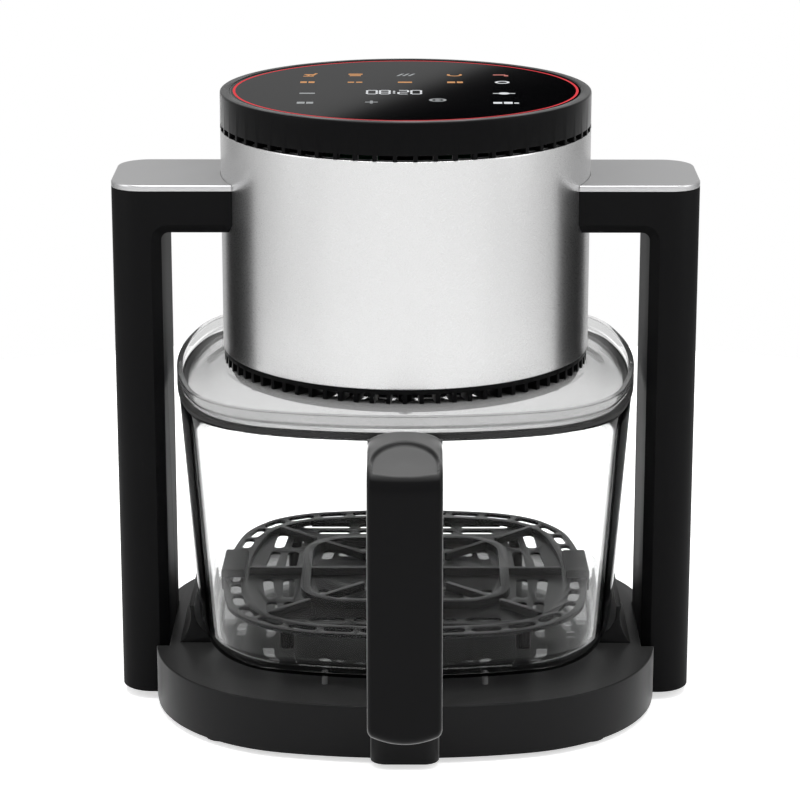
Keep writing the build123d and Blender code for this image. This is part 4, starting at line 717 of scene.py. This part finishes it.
def handle_point(index, x, inset):
    """One point of the handle's skin."""
    before, here = side_line[index - 1], side_line[index]
    after = side_line[(index + 1) % len(side_line)]
    run = hypot(after[0] - before[0], after[1] - before[1])
    out_y, out_z = -(before[1] - after[1]) / run, (before[0] - after[0]) / run
    amount = inset * (0.3 if here in at_wall or here[0] > -119.5 else 1.0)
    y, z = here[0] - out_y * amount, here[1] - out_z * amount
    on_top = index < len(rear_arc) + 44 + len(elbow_arc)
    wide = abs(x) / HANDLE_HALF
    if on_top:
        z = min(z, top_line(y) - dish_depth(x, y))
        z -= 3.4 * wide**2.4 * soft((y + 140) / 17)
        y -= 5.0 * wide**4 * soft((y + 130) / 9)
    if y < -155 and z < 168:
        y += 0.7 * wide**2 * soft((168 - z) / 14)
    if z < 60:
        z += (1.0 + 4.6 * wide**2) * soft((60 - z) / 34)
    if here[0] > -119.5:
        y += x * x / 514
    return at(x, y, z)


stations = []
for turn in range(0, 90, 10):
    stations.append((-HANDLE_HALF + EDGE * (1 - cos(radians(turn))), EDGE * (1 - sin(radians(turn)))))
inner = HANDLE_HALF - EDGE
stations += [(-inner + 2 * inner * step / 80, 0.0) for step in range(81)]
stations += [(-x, inset) for x, inset in reversed(stations[:9])]
rings = [[handle_point(index, x, inset) for index in range(len(side_line))] for x, inset in stations]
grip_mesh = skin("bowl_handle_moulded", rings, caps=True)
grip = piece_for("bowl_handle_moulded", "bowl_handle", grip_mesh, handle_black)
smooth(grip, 44)

for node, material, width, segments in (
    ("right_post", post_black, 0.5, 3),
    ("left_post", post_black, 0.5, 3),
    ("right_arm_cap", silver_satin, 0.25, 3),
    ("left_arm_cap", silver_satin, 0.25, 3),
    ("base_housing", casing_black, 0.4, 3),
    ("right_bowl_guide", casing_black, 0.5, 3),
    ("left_bowl_guide", casing_black, 0.5, 3),
    ("crisper_rack", rack_black, 0.35, 2),
    ("head_cap", cap_black, 0.2, 2),
    ("vent_ring", cap_black, 0.2, 2),
):
    eased(node, material, width, segments)

# Camera
camera = bpy.data.objects.new("camera", bpy.data.cameras.new("camera"))
scene.collection.objects.link(camera)
camera.data.lens = 136.9
camera.data.sensor_width = 36.0
camera.location = (0.0032, -1.5519, 0.60144)
camera.rotation_euler = (radians(90 - 15.791), 0, radians(0.224))
scene.camera = camera

# World: white behind the object, and a studio with dark sides at the back
world = bpy.data.worlds.new("studio")
scene.world = world
world.use_nodes = True
world.node_tree.nodes.clear()


tree = world.node_tree
place = tree.nodes.new("ShaderNodeTexCoord")
split = tree.nodes.new("ShaderNodeSeparateXYZ")
tree.links.new(place.outputs["Generated"], split.inputs["Vector"])
toward_x, toward_y, toward_z = split.outputs
level = sum_node(tree, "SQRT", sum_node(
    tree, "ADD", sum_node(tree, "POWER", toward_x, 2.0), sum_node(tree, "POWER", toward_y, 2.0)
))
level = sum_node(tree, "MAXIMUM", level, 0.001)
backness = sum_node(tree, "DIVIDE", toward_y, level)
turn = sum_node(tree, "ADD", sum_node(tree, "MULTIPLY", backness, 0.5), 0.5)
around = ramp(tree, turn, (
    (0.0, 1.0), (0.12, 0.95), (0.30, 0.72), (0.50, 0.62), (0.69, 0.5),
    (0.8, 0.34), (0.88, 0.3), (0.965, 0.62), (1.0, 0.62),
))
steep = sum_node(tree, "DIVIDE", toward_z, level)
drift = sum_node(tree, "DIVIDE", toward_x, level)
above = sum_node(tree, "MULTIPLY", steep, 6.0, True)
around = blend(tree, sum_node(tree, "MULTIPLY", above, 0.75), around, 0.5)
overhead = sum_node(tree, "MULTIPLY", sum_node(tree, "SUBTRACT", toward_z, 0.45), 3.0, True)
studio = blend(tree, overhead, around, 0.7)

# Cards low behind that the level glass panel mirrors: a grey one, and a dark one with a slanted edge
card = sum_node(tree, "MULTIPLY", sum_node(
    tree, "SUBTRACT", 0.075, sum_node(tree, "ABSOLUTE", drift)
), 60.0, True)
card = sum_node(tree, "MULTIPLY", card, sum_node(tree, "MULTIPLY", backness, 10.0, True))
card = sum_node(tree, "MULTIPLY", card, sum_node(
    tree, "MULTIPLY", sum_node(tree, "SUBTRACT", 0.24, steep), 25.0, True
))
card = sum_node(tree, "MULTIPLY", card, sum_node(
    tree, "MULTIPLY", sum_node(tree, "SUBTRACT", steep, 0.13), 60.0, True
))
studio = blend(tree, card, studio, 0.22)
line = sum_node(tree, "ADD", steep, sum_node(tree, "MULTIPLY", drift, 0.352))
slanted = sum_node(tree, "MULTIPLY", sum_node(tree, "SUBTRACT", line, 0.1745), 300.0, True)
studio = blend(tree, sum_node(tree, "MULTIPLY", card, slanted), studio, 0.0)
seen = tree.nodes.new("ShaderNodeLightPath")
shown = blend(tree, seen.outputs["Is Camera Ray"], studio, 1.0)
shown = blend(tree, seen.outputs["Is Transmission Ray"], shown, 1.0)
background = tree.nodes.new("ShaderNodeBackground")
output = tree.nodes.new("ShaderNodeOutputWorld")
tree.links.new(shown, background.inputs["Color"])
tree.links.new(background.outputs[0], output.inputs["Surface"])

# Floor: pale, white to the eye, and it keeps the object's shadow
floor_mesh = bpy.data.meshes.new("floor")
work = bmesh.new()
bmesh.ops.create_circle(work, cap_ends=True, segments=96, radius=0.75)
work.to_mesh(floor_mesh)
work.free()
floor = bpy.data.objects.new("floor", floor_mesh)
scene.collection.objects.link(floor)
floor_look = plain("floor_white", (0.86, 0.86, 0.86), 0.6)
paint(floor, floor_look)
tree = floor_look.node_tree
seen = tree.nodes.new("ShaderNodeLightPath")
shader = tree.nodes["Principled BSDF"]
shader.inputs["Emission Color"].default_value = (1, 1, 1, 1)
clear_seen = sum_node(tree, "MAXIMUM", seen.outputs["Is Camera Ray"], seen.outputs["Is Transmission Ray"])
tree.links.new(sum_node(tree, "MULTIPLY", clear_seen, 0.6), shader.inputs["Emission Strength"])


def softbox(name, place, target, width, height, power):
    """A soft rectangular lamp aimed at a point."""
    lamp = bpy.data.lights.new(name, "AREA")
    lamp.shape = "RECTANGLE"
    lamp.size, lamp.size_y, lamp.energy = width, height, power
    holder = bpy.data.objects.new(name, lamp)
    scene.collection.objects.link(holder)
    holder.location = place
    holder.rotation_euler = (Vector(target) - Vector(place)).to_track_quat("-Z", "Y").to_euler()


softbox("overhead", (0.0, -0.25, 1.5), (0, -0.1, 0.1), 1.2, 0.9, 16)
softbox("left", (-1.5, -0.5, 0.8), (0, 0, 0.15), 0.7, 1.2, 6)
softbox("right", (1.5, -0.5, 0.8), (0, 0, 0.15), 0.7, 1.2, 6.5)
